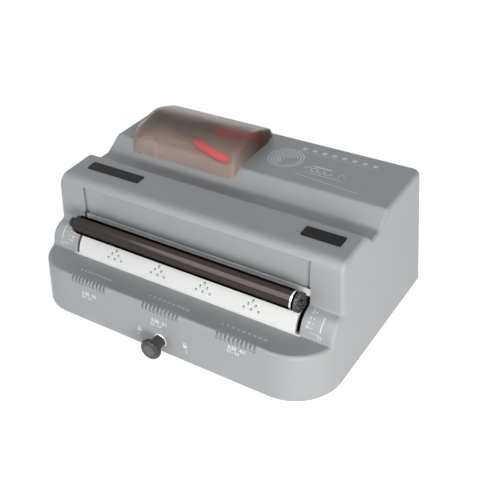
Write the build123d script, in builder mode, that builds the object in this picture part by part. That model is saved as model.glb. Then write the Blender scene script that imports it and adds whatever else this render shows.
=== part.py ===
from build123d import *

import os
from math import asin, atan2, cos, radians, sin, tan

# Coil binding machine: a driven roller spins a plastic coil through the punched edge of a book.
# Millimetres. X is to the right, Y to the back, Z up. The origin is on the floor, under the middle.
# Sizes along Y are measured back from the casing's front edge, sizes along Z up from its lower edge.

os.makedirs("parts", exist_ok=True)

# Fits
running_fit = 0.05
slip_fit = 0.3
free_gap = 0.5

# Widths of the machine are built out from the slots for the two roller arms
slot_inner = 161
slot_width = 5.5
casing_side = 54
recess_margin = 4
plate_margin = 7
arm_clearance = 0.4
arm_thickness = 1.8

# Depths along the casing, each measured from the one before
fender_foot = 48
face_y = 71.5
nose_step = 1.8
middle_depth = 60.2
ridge_fall = 16.5
trough_depth = 20
trough_rise = 24
top_depth = 114

# Heights of the casing; the tiers are measured down from the top's back edge
shelf_height = 61.5
crease_height = 89.5
top_height = 166.2
roof_drop = 4.2
nose_drop = 12.4
ridge_drop = 8.4
trough_drop = 21.7

# Casing
casing_wall = 3
draft = 3.8
front_corner = 62
rear_corner = 12.6
edge_radius = 5
fender_radius = 27
foot_radius = 3
crease_radius = 4
nose_radius = 17
ridge_radius = 7
trough_radius = 10
top_radius = 9
overrun = 20

# Recess above the roller
recess_low = 106
recess_rim = 7.8
recess_low_depth = 3.5
recess_high_depth = 3.2
recess_backing = 4
recess_bite = 1

# Pitch gauge grooves on the rim
groove_count = 10
groove_pitch = 5.6
groove_radius = 1.5
groove_bend = 8
groove_middle = 135
groove_sweep = 130
groove_centres = (-110.5, 0.8, 108)

# Base plate and rear panel
plate_gap = 1.5
plate_thickness = 2
plate_fit = 0.6
boss_radius = 6
boss_inset = 8.5
boss_height = 34
boss_bore_depth = 17
boss_front = 78
boss_middle = 165
boss_back = 46
screw_radius = 1.6
screw_length = 11
screw_head_radius = 3.2
screw_head = 1.4
stud_nut_radius = 3.5
stud_nut = 2.5
stud_depth = 2
stud_tip = 1
panel_inset = 16
panel_margin = 21
panel_width = 170
panel_top = 64
window_margin = 8
window_low = 12
window_high = 56
window_corner = 4
vent_count = 14
vent_width = 4
vent_length = 44
vent_pitch = 9
vent_margin = 39
vent_low = 74

# Feet
foot_gap = 3
foot_size = 11
foot_taper = 0.8
foot_front = 46
foot_back = 46
foot_inset = 47

# Roller and the swing frame's places
pivot_setback = 38.5
pivot_height = 60
roller_standoff = 23.5
roller_height = 108.2
roller_radius = 12.05
roller_wall = 2
roller_left_gap = 9
roller_right_gap = 0.3
roller_cap_radius = 11.5
roller_plug_length = 12
journal_radius = 3
journal_tip = 1.5
slot_top_gap = 6
arm_pivot_radius = 11
arm_tip_radius = 6.4
arm_boss_radius = 6
arm_boss_length = 5
bush_radius = 4.4
end_disc_width = 4.5
end_disc_radius = 12
end_disc_rim = 1.4
end_disc_dish = 1.2
end_hub_radius = 4.5
end_hub_length = 3.5
arm_pulley_width = 2.8
arm_pulley_rim = 0.4
arm_pulley_flange = 1.5
arm_belt_radius = 5
arm_belt_thickness = 0.9

# Cross tube, drive shaft and pedestals
tube_radius = 8
tube_bore = 6
shaft_bush_length = 12
shaft_overhang = 29
shaft_right_gap = 3
pedestal_inset = 23
pedestal_thickness = 4
pedestal_head = 15
pedestal_half_foot = 22
pedestal_flange = 22
pedestal_screw_inset = 8
pivot_bush_radius = 10
pivot_bush_length = 9

# Motor drive
motor_setback = 80
motor_height = 38
motor_radius = 20
motor_length = 70
motor_edge = 2
gearbox_radius = 23
gearbox_length = 28
gearbox_overhang = 1
gearbox_bore_depth = 14
motor_plate = 3
motor_hole_radius = 8
motor_ear = 20
motor_ear_inset = 14
motor_side = 6
motor_tail = 8
motor_tail_radius = 6.7
output_radius = 4
motor_pulley_radius = 9
shaft_pulley_radius = 22
belt_width = 6
belt_thickness = 1.2
belt_overhang = 20
pulley_rim = 1.5
pulley_flange = 2

# White backing plate
plate_sheet = 1.5
plate_top = 110.8
plate_lip = 3
group_count = 4
group_pitch = 68
group_hole_radius = 1.1
group_spacing = 10
group_rows = (81, 77.3, 72.2)

# Lock knob and brake
lock_height = 16
knob_reach = 22
knob_radius = 13.5
knob_head = 8
knob_neck = 8.2
knob_socket = 4
knob_flutes = 14
flute_radius = 1.4
flute_bite = 0.9
lock_shaft_radius = 4
lock_shaft_tip = 1
lock_flange_radius = 9.5
lock_flange = 1.6
lock_flange_edge = 0.8
lock_thread_radius = 6.5
lock_thread_length = 12
lock_nut_radius = 10
lock_nut_length = 4
knob_crown = 3.5
knob_edge = 1.5
cam_radius = 8
cam_throw = 1.2
cam_gap = 0.5
brake_width = 16
brake_length = 25
drum_radius = 20
lining_thickness = 3
lining_gap = 0.4
guide_plate = 3
guide_lift = 8
guide_ear = 16
guide_half = 22

# Lid, measured back from the top's front edge and up from the top
lid_left = -167
lid_right = -3
lid_wall = 2.2
lid_gap = 0.4
lid_front_step = -17
lid_shoulder = (-10, 21)
lid_crown = (42, 31.2)
lid_back = (83, 16.2)
lid_heel = 91
lid_rear_lift = 3
lid_rear_start = 74
lid_front_bend = 20
lid_crown_bend = 60
lid_back_bend = 8
lid_edge = 5

# Lid hinge
hinge_step = 85.5
hinge_rise = 7.4
hinge_radius = 6
hinge_pin_radius = 1.5
hinge_middle = -79.5
hinge_barrel = 79
knuckle_length = 13.5
hinge_web = 6
hinge_foot = 15

# Storage tray
tray_left = -160
tray_right = -10
tray_front_step = 7
tray_depth = 67
tray_sink = 2
tray_wall = 1.5
tray_flange = 3
tray_flange_thickness = 0.75
tray_corner = 10

# Pliers in the tray
pliers_x = -118
pliers_step = 45
pliers_rise = 6.4
pliers_turn = -6
lever_thickness = 3.5
lever_gap = 0.3
lever_head = 10
jaw_root = 11
tang_radius = 3
jaw_length = 34
jaw_depth = 8
jaw_tip = 3
jaw_opening = 16
pliers_pin_radius = 2.5
rivet_head_radius = 4
rivet_head = 0.8
tang_knee = (24, 14)
handle_bend = (52, 26)
handle_end = (98, 35)
grip_start = (38, 20.5)
grip_radius = 5.2

# Rear fittings, measured in from the right edge of the rear panel
inlet_step = 34
switch_step = 82
jack_step = 128
fitting_height = 34
inlet_width = 24.4
inlet_tall = 16.4
inlet_depth = 16
inlet_wall = 1.6
inlet_flange = 3
inlet_corner = 4
inlet_plate = 2.4
pin_width = 4
pin_thick = 2
pin_spacing = 7
pin_rise = 2
pin_reach = 12
switch_width = 15
switch_tall = 22
switch_depth = 18
switch_wall = 1.5
rocker_tilt = 8
rocker_reach = 5.5
rocker_valley = 3.6
rocker_half = 10
rocker_back = 6
rocker_stub = 1.5
switch_rim = 3
jack_radius = 5.5
jack_bore = 3.25
jack_length = 20
jack_body = 14
jack_nut_radius = 8
jack_nut_length = 2.2

# Electronics
board_x = 106
board_setback = 70
board_width = 110
board_length = 76
board_thickness = 1.6
board_lift = 6
standoff_radius = 3
standoff_inset = 5
capacitor_radius = 8
capacitor_height = 24
relay_width = 19
relay_length = 15
relay_height = 15
part_pitch = 26
core_x = 0
core_width = 58
core_depth = 22
core_height = 48
core_limb = 18
core_window = 10
coil_overhang = 11
strap = 1.5
strap_reach = 12
strap_ear = 36

# Bare name plates on the middle tier: hand, distance in from the side, width and depth
badge_thickness = 0.8
badge_corner = 1.6
badge_places = ((-1, 74.5, 83, 16), (1, 54.5, 51, 18))

# Places that follow from the sizes above
casing_width = 2 * (slot_inner + casing_side)
recess_half = slot_inner + recess_margin
plate_half = slot_inner + plate_margin
nose_y = face_y + nose_step
ridge_y = nose_y + middle_depth
trough_front_y = ridge_y + ridge_fall
trough_back_y = trough_front_y + trough_depth
top_front_y = trough_back_y + trough_rise
casing_depth = top_front_y + top_depth
front_y = (knob_reach - casing_depth) / 2
nose_height = top_height - nose_drop
ridge_height = top_height - ridge_drop
trough_height = top_height - trough_drop
roof_lean = atan2(roof_drop, top_depth)
recess_high = nose_height - recess_rim
slot_low = shelf_height + plate_sheet
slot_high = recess_low + slot_top_gap
deck = plate_gap + plate_thickness
pivot_y = face_y + pivot_setback
roller_y = face_y - roller_standoff
arm_inner = slot_inner + arm_clearance
arm_outer = arm_inner + arm_thickness
boss_end = arm_inner - arm_boss_length
disc_inner = arm_outer + slip_fit
pulley_middle = disc_inner + arm_pulley_width / 2
pedestal_x = slot_inner - pedestal_inset
shaft_left = slot_inner + shaft_overhang
belt_plane = slot_inner + belt_overhang
gearbox_face = slot_inner + gearbox_overhang
motor_y = pivot_y + motor_setback
motor_ear_x = motor_ear_inset - gearbox_face
panel_y = casing_depth - panel_inset
panel_right = casing_width / 2 - panel_margin
panel_middle = panel_right - panel_width / 2
inlet_x = panel_right - inlet_step
switch_x = panel_right - switch_step
jack_x = panel_right - jack_step
board_y = panel_y - board_setback
hinge_y = top_front_y + hinge_step
tray_middle = ((tray_left + tray_right) / 2, top_front_y + tray_front_step + tray_depth / 2)
pliers_y = top_front_y + pliers_step


def side(x):
    """Plane across the machine at x: its own x runs back, its own y runs up."""
    return Plane(origin=(x, front_y, foot_gap), x_dir=(0, 1, 0), z_dir=(1, 0, 0))


def level(z):
    """Level plane, z above the casing's lower edge."""
    return Plane(origin=(0, front_y, foot_gap + z))


def facing(y):
    """Upright plane that faces the front, y behind the casing's front edge."""
    return Plane(origin=(0, front_y + y, foot_gap), x_dir=(1, 0, 0), z_dir=(0, -1, 0))


def place(x, y, z):
    """A point of the machine in the part's own frame."""
    return Vector(x, front_y + y, foot_gap + z)


def rod(x0, x1, y, z, radius, bore=0):
    """A round bar or ring along X."""
    with BuildPart() as bar:
        with BuildSketch(side(x0)):
            with Locations((y, z)):
                Circle(radius)
                if bore:
                    Circle(bore, mode=Mode.SUBTRACT)
        extrude(amount=x1 - x0)
    return bar.part


def face_at(z):
    """How far back the front face lies at height z."""
    return face_y + (z - crease_height) * (nose_y - face_y) / (nose_height - crease_height)


def roof(y):
    """Height of the casing's top, which slopes up to the back."""
    return top_height - (casing_depth - y) * roof_drop / top_depth


def roof_plane(x, y, rise, turn=0):
    """Plane over the sloping top, lifted by rise, its own x turned in the plane."""
    upward = Vector(0, -sin(roof_lean), cos(roof_lean))
    backward = Vector(0, cos(roof_lean), sin(roof_lean))
    across = Vector(cos(radians(turn)), 0, 0) + backward * sin(radians(turn))
    return Plane(origin=place(x, y, roof(y)) + upward * rise, x_dir=across, z_dir=upward)


def casing_outline(inset=0):
    """Side outline of the casing, open past its front, back and bottom walls."""
    upper = [
        (face_y, crease_height),
        (nose_y, nose_height),
        (ridge_y, ridge_height),
        (trough_front_y, trough_height),
        (trough_back_y, trough_height),
        (top_front_y, roof(top_front_y)),
        (casing_depth + overrun, roof(casing_depth + overrun)),
    ]
    bends = [nose_radius, ridge_radius, trough_radius, trough_radius, top_radius]
    with BuildSketch(side(0)) as outline:
        with BuildLine():
            Line((-overrun, shelf_height), (fender_foot, shelf_height))
            RadiusArc((fender_foot, shelf_height), (face_y, crease_height), fender_radius)
            FilletPolyline(*upper, radius=bends)
            Polyline(
                upper[-1],
                (casing_depth + overrun, -overrun),
                (-overrun, -overrun),
                (-overrun, shelf_height),
            )
        make_face()
        fillet(outline.vertices().sort_by_distance((face_y, crease_height, 0))[0], crease_radius)
        fillet(outline.vertices().sort_by_distance((fender_foot, shelf_height, 0))[0], foot_radius)
        if inset:
            offset(amount=-inset)
    return outline.sketch


def casing_plan(inset=0):
    """Plan outline of the casing at its lower edge, its rear corners still square."""
    with BuildSketch(level(0)) as plan:
        Rectangle(casing_width, casing_depth, align=(Align.CENTER, Align.MIN))
        fillet(plan.vertices().group_by(Axis.Y)[0], front_corner)
        if inset:
            offset(amount=-inset)
    return plan.sketch


def casing_form(inset=0):
    """The drafted plan cut to the side outline, set in all round by inset."""
    with BuildPart() as form:
        extrude(casing_plan(inset), amount=top_height + overrun, taper=draft)
        upright = form.edges().filter_by(lambda edge: edge.bounding_box().size.Z > top_height)
        fillet(upright.group_by(Axis.Y)[-1], rear_corner - inset)
        extrude(casing_outline(inset), amount=casing_width, both=True, mode=Mode.INTERSECT)
        if not inset:
            upper = form.edges().filter_by_position(
                Axis.Z, foot_gap + shelf_height - running_fit, foot_gap + top_height + running_fit
            )
            straight = casing_width - 2 * front_corner - edge_radius
            across = upper.filter_by(lambda edge: edge.bounding_box().size.X > straight)
            kept = across.filter_by_position(
                Axis.Y, front_y + fender_foot / 2, front_y + casing_depth - 2 * rear_corner
            )
            fillet(upper - kept, edge_radius)
    return form.part


def groove_places():
    """Centres of the groove rings, three groups along the rim."""
    first = -(groove_count - 1) * groove_pitch / 2
    for centre in groove_centres:
        for number in range(groove_count):
            yield centre + first + number * groove_pitch


def fender_plane(height):
    """Plane that touches the fender at a height below its crease, facing out."""
    foot = Vector(fender_foot, shelf_height)
    chord = Vector(face_y, crease_height) - foot
    reach = (fender_radius**2 - chord.length**2 / 4) ** 0.5
    centre = foot + chord / 2 + Vector(chord.Y, -chord.X).normalized() * reach
    lean = asin((height - centre.Y) / fender_radius)
    y = centre.X - fender_radius * cos(lean)
    return Plane(origin=place(0, y, height), x_dir=(1, 0, 0), z_dir=(0, -cos(lean), sin(lean)))


def belt(x, width, thickness, first, second):
    """A flat belt with its middle at x, round two pulleys given as (y, z, radius)."""
    with BuildPart() as loop:
        with BuildSketch(side(x - width / 2)):
            for y, z, radius in (first, second):
                with Locations((y, z)):
                    Circle(radius + thickness)
            make_hull()
        extrude(amount=width)
        with BuildSketch(side(x - width / 2)):
            for y, z, radius in (first, second):
                with Locations((y, z)):
                    Circle(radius)
            make_hull()
        extrude(amount=width, mode=Mode.SUBTRACT)
    return loop.part


def pulley(x, width, rim, radius, flange, bore, y, z):
    """A flanged pulley with its middle at x."""
    with BuildPart() as wheel:
        add(rod(x - width / 2, x + width / 2, y, z, radius, bore))
        add(rod(x - width / 2, x - width / 2 + rim, y, z, radius + flange, bore))
        add(rod(x + width / 2 - rim, x + width / 2, y, z, radius + flange, bore))
    return wheel.part


def pedestal_spots(hand):
    """Screw places in one pedestal's foot, hand -1 on the left and 1 on the right."""
    x = hand * (pedestal_x - pedestal_screw_inset)
    reach = pedestal_half_foot - pedestal_screw_inset
    return [(x, pivot_y - reach), (x, pivot_y + reach)]


def pedestal(hand):
    """One bent bracket for the arm pivot; its foot turns inwards."""
    foot_depth = 2 * pedestal_half_foot
    with BuildPart() as bracket:
        with BuildSketch(side(hand * (pedestal_x + pedestal_thickness / 2) - pedestal_thickness / 2)):
            with Locations((pivot_y, pivot_height)):
                Circle(pedestal_head)
            with Locations((pivot_y, deck)):
                Rectangle(foot_depth, pedestal_thickness, align=(Align.CENTER, Align.MIN))
            make_hull()
            with Locations((pivot_y, pivot_height)):
                Circle(pivot_bush_radius, mode=Mode.SUBTRACT)
        extrude(amount=pedestal_thickness)
        with BuildSketch(level(deck)):
            with Locations((hand * (pedestal_x + pedestal_thickness - pedestal_flange / 2), pivot_y)):
                Rectangle(pedestal_flange, foot_depth)
            with Locations(*pedestal_spots(hand)):
                Circle(screw_radius + slip_fit, mode=Mode.SUBTRACT)
        extrude(amount=pedestal_thickness)
    return bracket.part


def arm(hand):
    """One arm plate with a boss that reaches into the roller, hand -1 on the left and 1 on the right."""
    with BuildPart() as plate:
        with BuildSketch(side(hand * (arm_inner + arm_thickness / 2) - arm_thickness / 2)):
            with Locations((pivot_y, pivot_height)):
                Circle(arm_pivot_radius)
            with Locations((roller_y, roller_height)):
                Circle(arm_tip_radius)
            make_hull()
            with Locations((pivot_y, pivot_height)):
                Circle(tube_bore, mode=Mode.SUBTRACT)
            with Locations((roller_y, roller_height)):
                Circle(bush_radius, mode=Mode.SUBTRACT)
        extrude(amount=arm_thickness)
        inside = sorted((hand * boss_end, hand * arm_inner))
        add(rod(*inside, roller_y, roller_height, arm_boss_radius, bush_radius))
    return plate.part


def lid_outline(inset=0):
    """Side outline of the lid, reaching below the casing's top."""
    dome = [(top_front_y + lid_front_step, trough_height)]
    for step, rise in (lid_shoulder, lid_crown, lid_back, (lid_heel, 0)):
        dome.append((top_front_y + step, roof(top_front_y + step) + rise))
    with BuildSketch(side(0)) as outline:
        with BuildLine():
            arch = FilletPolyline(*dome, radius=[lid_front_bend, lid_crown_bend, lid_back_bend])
            Line(arch @ 1, arch @ 0)
        make_face()
        if inset:
            offset(amount=-inset)
    return outline.sketch


def lid_form(inset=0):
    """The lid's rounded dome, set in all round by inset."""
    with BuildPart() as dome:
        outline = lid_outline(inset).moved(Location((lid_left + inset, 0, 0)))
        extrude(outline, amount=lid_right - lid_left - 2 * inset)
        rim = dome.faces().filter_by(Axis.X).edges()
        fillet(rim - rim.group_by(Axis.Z)[0], lid_edge - inset)
    return dome.part


def pliers_plane(rise, turn=0):
    """Plane across the pliers' rivet, its own x along the handles."""
    return roof_plane(pliers_x, pliers_y, rise, pliers_turn + turn)


def flat_link(plane, start, end):
    """One straight stretch of a lever's tang."""
    with BuildPart() as link:
        with BuildSketch(plane):
            with Locations(start, end):
                Circle(tang_radius)
            make_hull()
        extrude(amount=lever_thickness)
    return link.part


def lever(hand, low, bore, opening):
    """One lever: hub and tang in their own layer, and a jaw as deep as both layers."""
    knee = (tang_knee[0], hand * tang_knee[1])
    bend = (handle_bend[0], hand * handle_bend[1])
    with BuildPart() as blade:
        with BuildSketch(pliers_plane(low)):
            Circle(lever_head)
        extrude(amount=lever_thickness)
        add(flat_link(pliers_plane(low), (0, 0), knee))
        add(flat_link(pliers_plane(low), knee, bend))
        jaw_low = pliers_rise - lever_thickness - lever_gap / 2
        with BuildSketch(pliers_plane(jaw_low, opening)):
            with BuildLine():
                Polyline(
                    (-lever_head - lever_gap, -hand * lever_gap),
                    (-jaw_length, -hand * lever_gap),
                    (-jaw_length, -hand * jaw_tip),
                    (-lever_head - lever_gap, -hand * jaw_depth),
                    close=True,
                )
            make_face()
        extrude(amount=2 * lever_thickness + lever_gap)
        with BuildSketch(pliers_plane(low, opening)):
            with BuildLine():
                Polyline(
                    (0, -hand * lever_gap),
                    (-jaw_root, -hand * lever_gap),
                    (-jaw_root, -hand * jaw_depth),
                    (0, -hand * jaw_depth),
                    close=True,
                )
            make_face()
        extrude(amount=lever_thickness)
        with BuildSketch(pliers_plane(low)):
            Circle(bore)
        extrude(amount=lever_thickness, mode=Mode.SUBTRACT)
    return blade.part


def grip(hand):
    """A dipped round grip along one handle."""
    points = [(x, hand * y) for x, y in (grip_start, handle_bend, handle_end)]
    with BuildPart() as sleeve:
        with BuildLine(pliers_plane(pliers_rise)) as path:
            ThreePointArc(*points)
        with BuildSketch(Plane(origin=path.line @ 0, z_dir=path.line % 0)):
            Circle(grip_radius)
        sweep(path=path.line)
        with Locations(path.line @ 1):
            Sphere(grip_radius)
    return sleeve.part


# Casing: one thin moulding with a shelf, a fender, a stepped top and a hollow underside
rim_y = shelf_height * tan(radians(draft))
rim_bar_back = rim_y + groove_bend + groove_radius + casing_wall
rim_bar_low = shelf_height - groove_bend - groove_radius - casing_wall
boss_rows = (boss_front, boss_middle, casing_depth - boss_back)
boss_spots = [(x * (casing_width / 2 - boss_inset), row) for x in (-1, 1) for row in boss_rows]
outer_form = casing_form()
with BuildPart() as casing:
    add(outer_form)
    add(casing_form(casing_wall), mode=Mode.SUBTRACT)
    # Thicker backing behind the grooved rim and behind the recess
    with BuildSketch(side(-slot_inner)):
        with BuildLine():
            Polyline(
                (rim_bar_low * tan(radians(draft)) + casing_wall / 2, rim_bar_low),
                (rim_bar_back, shelf_height - casing_wall / 2),
                (rim_y + casing_wall / 2, shelf_height - casing_wall / 2),
                close=True,
            )
        make_face()
    extrude(amount=2 * slot_inner)
    with BuildSketch(side(-recess_half - casing_wall)):
        with BuildLine():
            Polyline(
                (face_at(recess_low) + recess_bite, recess_low - casing_wall),
                (face_at(recess_low) + casing_wall + recess_backing, recess_low - casing_wall),
                (face_at(recess_high) + casing_wall + recess_backing, recess_high),
                (face_at(recess_high) + casing_wall, recess_high),
                close=True,
            )
        make_face()
    extrude(amount=2 * (recess_half + casing_wall))
    # Recess above the roller
    with BuildSketch(side(-recess_half)):
        with BuildLine():
            Polyline(
                (face_at(recess_low) - overrun, recess_low),
                (face_at(recess_low) + recess_low_depth, recess_low),
                (face_at(recess_high) + recess_high_depth, recess_high),
                (face_at(recess_high) - overrun, recess_high),
                close=True,
            )
        make_face()
    extrude(amount=2 * recess_half, mode=Mode.SUBTRACT)
    # Slots for the two roller arms
    for x in (-slot_inner - slot_width, slot_inner):
        with BuildSketch(side(x)):
            with Locations((fender_foot - overrun / 2, slot_low)):
                Rectangle(
                    face_y + casing_wall + overrun - fender_foot,
                    slot_high - slot_low,
                    align=(Align.MIN, Align.MIN),
                )
        extrude(amount=slot_width, mode=Mode.SUBTRACT)
    # Gauge grooves over the rim, with everything outside each ring cleared
    groove_planes = [
        Plane(
            origin=place(x, rim_y + groove_bend, shelf_height - groove_bend),
            x_dir=(0, 1, 0),
            z_dir=(1, 0, 0),
        )
        for x in groove_places()
    ]
    with BuildSketch(*groove_planes):
        Rectangle(2 * groove_bend, 2 * groove_bend, align=(Align.MAX, Align.MIN))
        Circle(groove_bend, mode=Mode.SUBTRACT)
    extrude(amount=groove_radius, both=True, mode=Mode.SUBTRACT)
    groove_from = radians(groove_middle - groove_sweep / 2)
    ring_planes = [
        Plane(origin=plane.origin, x_dir=(0, cos(groove_from), sin(groove_from)), z_dir=(1, 0, 0))
        for plane in groove_planes
    ]
    with Locations(*ring_planes):
        Torus(groove_bend, groove_radius, major_angle=groove_sweep, mode=Mode.SUBTRACT)
    # Seat and hole for the lock bushing
    with BuildSketch(facing(lock_height * tan(radians(draft)) + free_gap)):
        with Locations((0, lock_height)):
            Circle(lock_flange_radius + slip_fit)
    extrude(amount=overrun, mode=Mode.SUBTRACT)
    with BuildSketch(facing(-overrun)):
        with Locations((0, lock_height)):
            Circle(lock_thread_radius)
    extrude(amount=-2 * overrun, mode=Mode.SUBTRACT)
    # Opening for the storage tray
    with BuildSketch(roof_plane(*tray_middle, -2 * casing_wall)):
        RectangleRounded(tray_right - tray_left, tray_depth, tray_corner)
    extrude(amount=overrun, mode=Mode.SUBTRACT)
    # Window for the rear panel, and vents beside it
    with BuildSketch(facing(casing_depth + overrun)):
        with Locations((panel_middle, (window_low + window_high) / 2)):
            RectangleRounded(panel_width - 2 * window_margin, window_high - window_low, window_corner)
        for number in range(vent_count):
            vent_x = vent_margin - casing_width / 2 + number * vent_pitch
            with Locations((vent_x, vent_low + vent_length / 2)):
                SlotOverall(vent_length, vent_width, rotation=90)
    extrude(amount=2 * overrun, mode=Mode.SUBTRACT)
    # Screw bosses along both side walls
    with BuildSketch(level(deck)):
        with Locations(*boss_spots):
            Circle(boss_radius)
    extrude(amount=boss_height)
    add(outer_form, mode=Mode.INTERSECT)
    with BuildSketch(level(deck)):
        with Locations(*boss_spots):
            Circle(screw_radius)
    extrude(amount=boss_bore_depth, mode=Mode.SUBTRACT)
casing.part.label = "casing"
export_step(casing.part, "parts/casing.step")

# Base plate: a steel sheet that closes the casing, folded up at the back as the rear panel
foot_x = casing_width / 2 - foot_inset
foot_spots = [(x, row) for x in (-foot_x, foot_x) for row in (foot_front, casing_depth - foot_back)]
deck_screws_at = (
    [(x, y, pedestal_thickness) for hand in (-1, 1) for x, y in pedestal_spots(hand)]
    + [(x, pivot_y, guide_plate) for x in (-guide_ear, guide_ear)]
    + [(motor_ear_x, y, motor_plate) for y in (motor_y - motor_ear, motor_y + motor_ear)]
    + [(x, board_y, strap) for x in (core_x - strap_ear, core_x + strap_ear)]
)
with BuildPart() as base_plate:
    sheet = casing_plan(casing_wall + plate_fit).moved(Location((0, 0, plate_gap)))
    extrude(sheet, amount=plate_thickness)
    fillet(base_plate.edges().filter_by(Axis.Z).group_by(Axis.Y)[-1], rear_corner - casing_wall)
    with BuildSketch(level(plate_gap)):
        with Locations(*boss_spots):
            Circle(screw_radius + slip_fit)
        with Locations(*foot_spots):
            Circle(screw_radius)
        with Locations(*[(x, y) for x, y, _ in deck_screws_at]):
            Circle(screw_radius)
    extrude(amount=plate_thickness, mode=Mode.SUBTRACT)
    with BuildSketch(facing(panel_y)):
        with Locations((panel_middle, plate_gap)):
            Rectangle(panel_width, panel_top - plate_gap, align=(Align.CENTER, Align.MIN))
        with Locations((inlet_x, fitting_height)):
            Rectangle(inlet_width + 2 * inlet_wall, inlet_tall + 2 * inlet_wall, mode=Mode.SUBTRACT)
        with Locations((switch_x, fitting_height)):
            Rectangle(switch_width + 2 * switch_wall, switch_tall + 2 * switch_wall, mode=Mode.SUBTRACT)
        with Locations((jack_x, fitting_height)):
            Circle(jack_radius, mode=Mode.SUBTRACT)
    extrude(amount=-plate_thickness)
base_plate.part.label = "base_plate"
export_step(base_plate.part, "parts/base_plate.step")

# Screws up through the base plate into the casing's bosses
with BuildPart() as base_screws:
    with BuildSketch(level(plate_gap - screw_head)):
        with Locations(*boss_spots):
            Circle(screw_head_radius)
    extrude(amount=screw_head)
    with BuildSketch(level(plate_gap)):
        with Locations(*boss_spots):
            Circle(screw_radius)
    extrude(amount=screw_length)
base_screws.part.label = "base_screws"
export_step(base_screws.part, "parts/base_screws.step")

# Rubber feet on studs, each stud held by a nut inside
with BuildPart() as rubber_feet:
    for x, y in foot_spots:
        with Locations(place(x, y, -foot_gap)):
            Cone(
                foot_size - foot_taper,
                foot_size,
                foot_gap + plate_gap,
                align=(Align.CENTER, Align.CENTER, Align.MIN),
            )
    with BuildSketch(level(plate_gap - stud_depth)):
        with Locations(*foot_spots):
            Circle(screw_radius)
    extrude(amount=stud_depth, mode=Mode.SUBTRACT)
rubber_feet.part.label = "rubber_feet"
export_step(rubber_feet.part, "parts/rubber_feet.step")

with BuildPart() as foot_studs:
    with BuildSketch(level(plate_gap - stud_depth)):
        with Locations(*foot_spots):
            Circle(screw_radius)
    extrude(amount=stud_depth + plate_thickness + stud_nut + stud_tip)
    with BuildSketch(level(deck)):
        with Locations(*foot_spots):
            RegularPolygon(stud_nut_radius, 6)
    extrude(amount=stud_nut)
foot_studs.part.label = "foot_studs"
export_step(foot_studs.part, "parts/foot_studs.step")

# Screws that hold the brackets down on the base plate
with BuildPart() as bracket_screws:
    for x, y, thickness in deck_screws_at:
        with BuildSketch(level(plate_gap)):
            with Locations((x, y)):
                Circle(screw_radius)
        extrude(amount=plate_thickness + thickness)
        with BuildSketch(level(deck + thickness)):
            with Locations((x, y)):
                Circle(screw_head_radius)
        extrude(amount=screw_head)
bracket_screws.part.label = "bracket_screws"
export_step(bracket_screws.part, "parts/bracket_screws.step")

# White backing plate: a smooth sheet over the fender, with gauge holes in four groups
with BuildPart() as backing_plate:
    extrude(casing_outline(-plate_sheet), amount=plate_half, both=True)
    extrude(casing_outline(), amount=plate_half, both=True, mode=Mode.SUBTRACT)
    with BuildSketch(side(0)):
        with Locations((fender_foot - plate_lip, shelf_height)):
            Rectangle(roller_y, plate_top - shelf_height, align=(Align.MIN, Align.MIN))
    extrude(amount=plate_half, both=True, mode=Mode.INTERSECT)
    for x in (-plate_half, slot_inner):
        with BuildSketch(side(x)):
            with Locations((fender_foot - overrun, slot_low)):
                Rectangle(casing_depth, slot_high - slot_low, align=(Align.MIN, Align.MIN))
        extrude(amount=plate_half - slot_inner, mode=Mode.SUBTRACT)
    for row, height in enumerate(group_rows):
        with BuildSketch(fender_plane(height)):
            for group in range(group_count):
                centre = (group - (group_count - 1) / 2) * group_pitch
                for number in range(row + 1):
                    with Locations((centre + (number - row / 2) * group_spacing, 0)):
                        Circle(group_hole_radius)
        extrude(amount=casing_wall, both=True, mode=Mode.SUBTRACT)
backing_plate.part.label = "backing_plate"
export_step(backing_plate.part, "parts/backing_plate.step")

# Two bare name plates on the middle tier
tier_lean = atan2(ridge_height - nose_height, ridge_y - nose_y)
with BuildPart() as name_plates:
    badge_y = (nose_y + nose_radius + ridge_y) / 2
    for hand, inset, width, depth in badge_places:
        badge_x = hand * (casing_width / 2 - inset)
        seat = Plane(
            origin=place(badge_x, badge_y, nose_height + (badge_y - nose_y) * tan(tier_lean)),
            x_dir=(1, 0, 0),
            z_dir=(0, -sin(tier_lean), cos(tier_lean)),
        )
        with BuildSketch(seat):
            RectangleRounded(width, depth, badge_corner)
        extrude(amount=badge_thickness)
name_plates.part.label = "name_plates"
export_step(name_plates.part, "parts/name_plates.step")

# Pedestals for the arm pivot, each with a plain bearing bush
with BuildPart() as pedestal_left:
    add(pedestal(-1))
pedestal_left.part.label = "pedestal_left"
export_step(pedestal_left.part, "parts/pedestal_left.step")

with BuildPart() as pedestal_right:
    add(pedestal(1))
pedestal_right.part.label = "pedestal_right"
export_step(pedestal_right.part, "parts/pedestal_right.step")

with BuildPart() as pivot_bushes:
    for hand in (-1, 1):
        start = hand * (pedestal_x + pedestal_thickness / 2) - pivot_bush_length / 2
        end = start + pivot_bush_length
        add(rod(start, end, pivot_y, pivot_height, pivot_bush_radius, tube_radius + running_fit))
pivot_bushes.part.label = "pivot_bushes"
export_step(pivot_bushes.part, "parts/pivot_bushes.step")

# Swing frame: two arm plates on a cross tube, their bushes and the brake drum
with BuildPart() as arm_left:
    add(arm(-1))
arm_left.part.label = "arm_left"
export_step(arm_left.part, "parts/arm_left.step")

with BuildPart() as arm_right:
    add(arm(1))
arm_right.part.label = "arm_right"
export_step(arm_right.part, "parts/arm_right.step")

with BuildPart() as cross_tube:
    add(rod(-arm_inner, arm_inner, pivot_y, pivot_height, tube_radius, tube_bore))
cross_tube.part.label = "cross_tube"
export_step(cross_tube.part, "parts/cross_tube.step")

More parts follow.
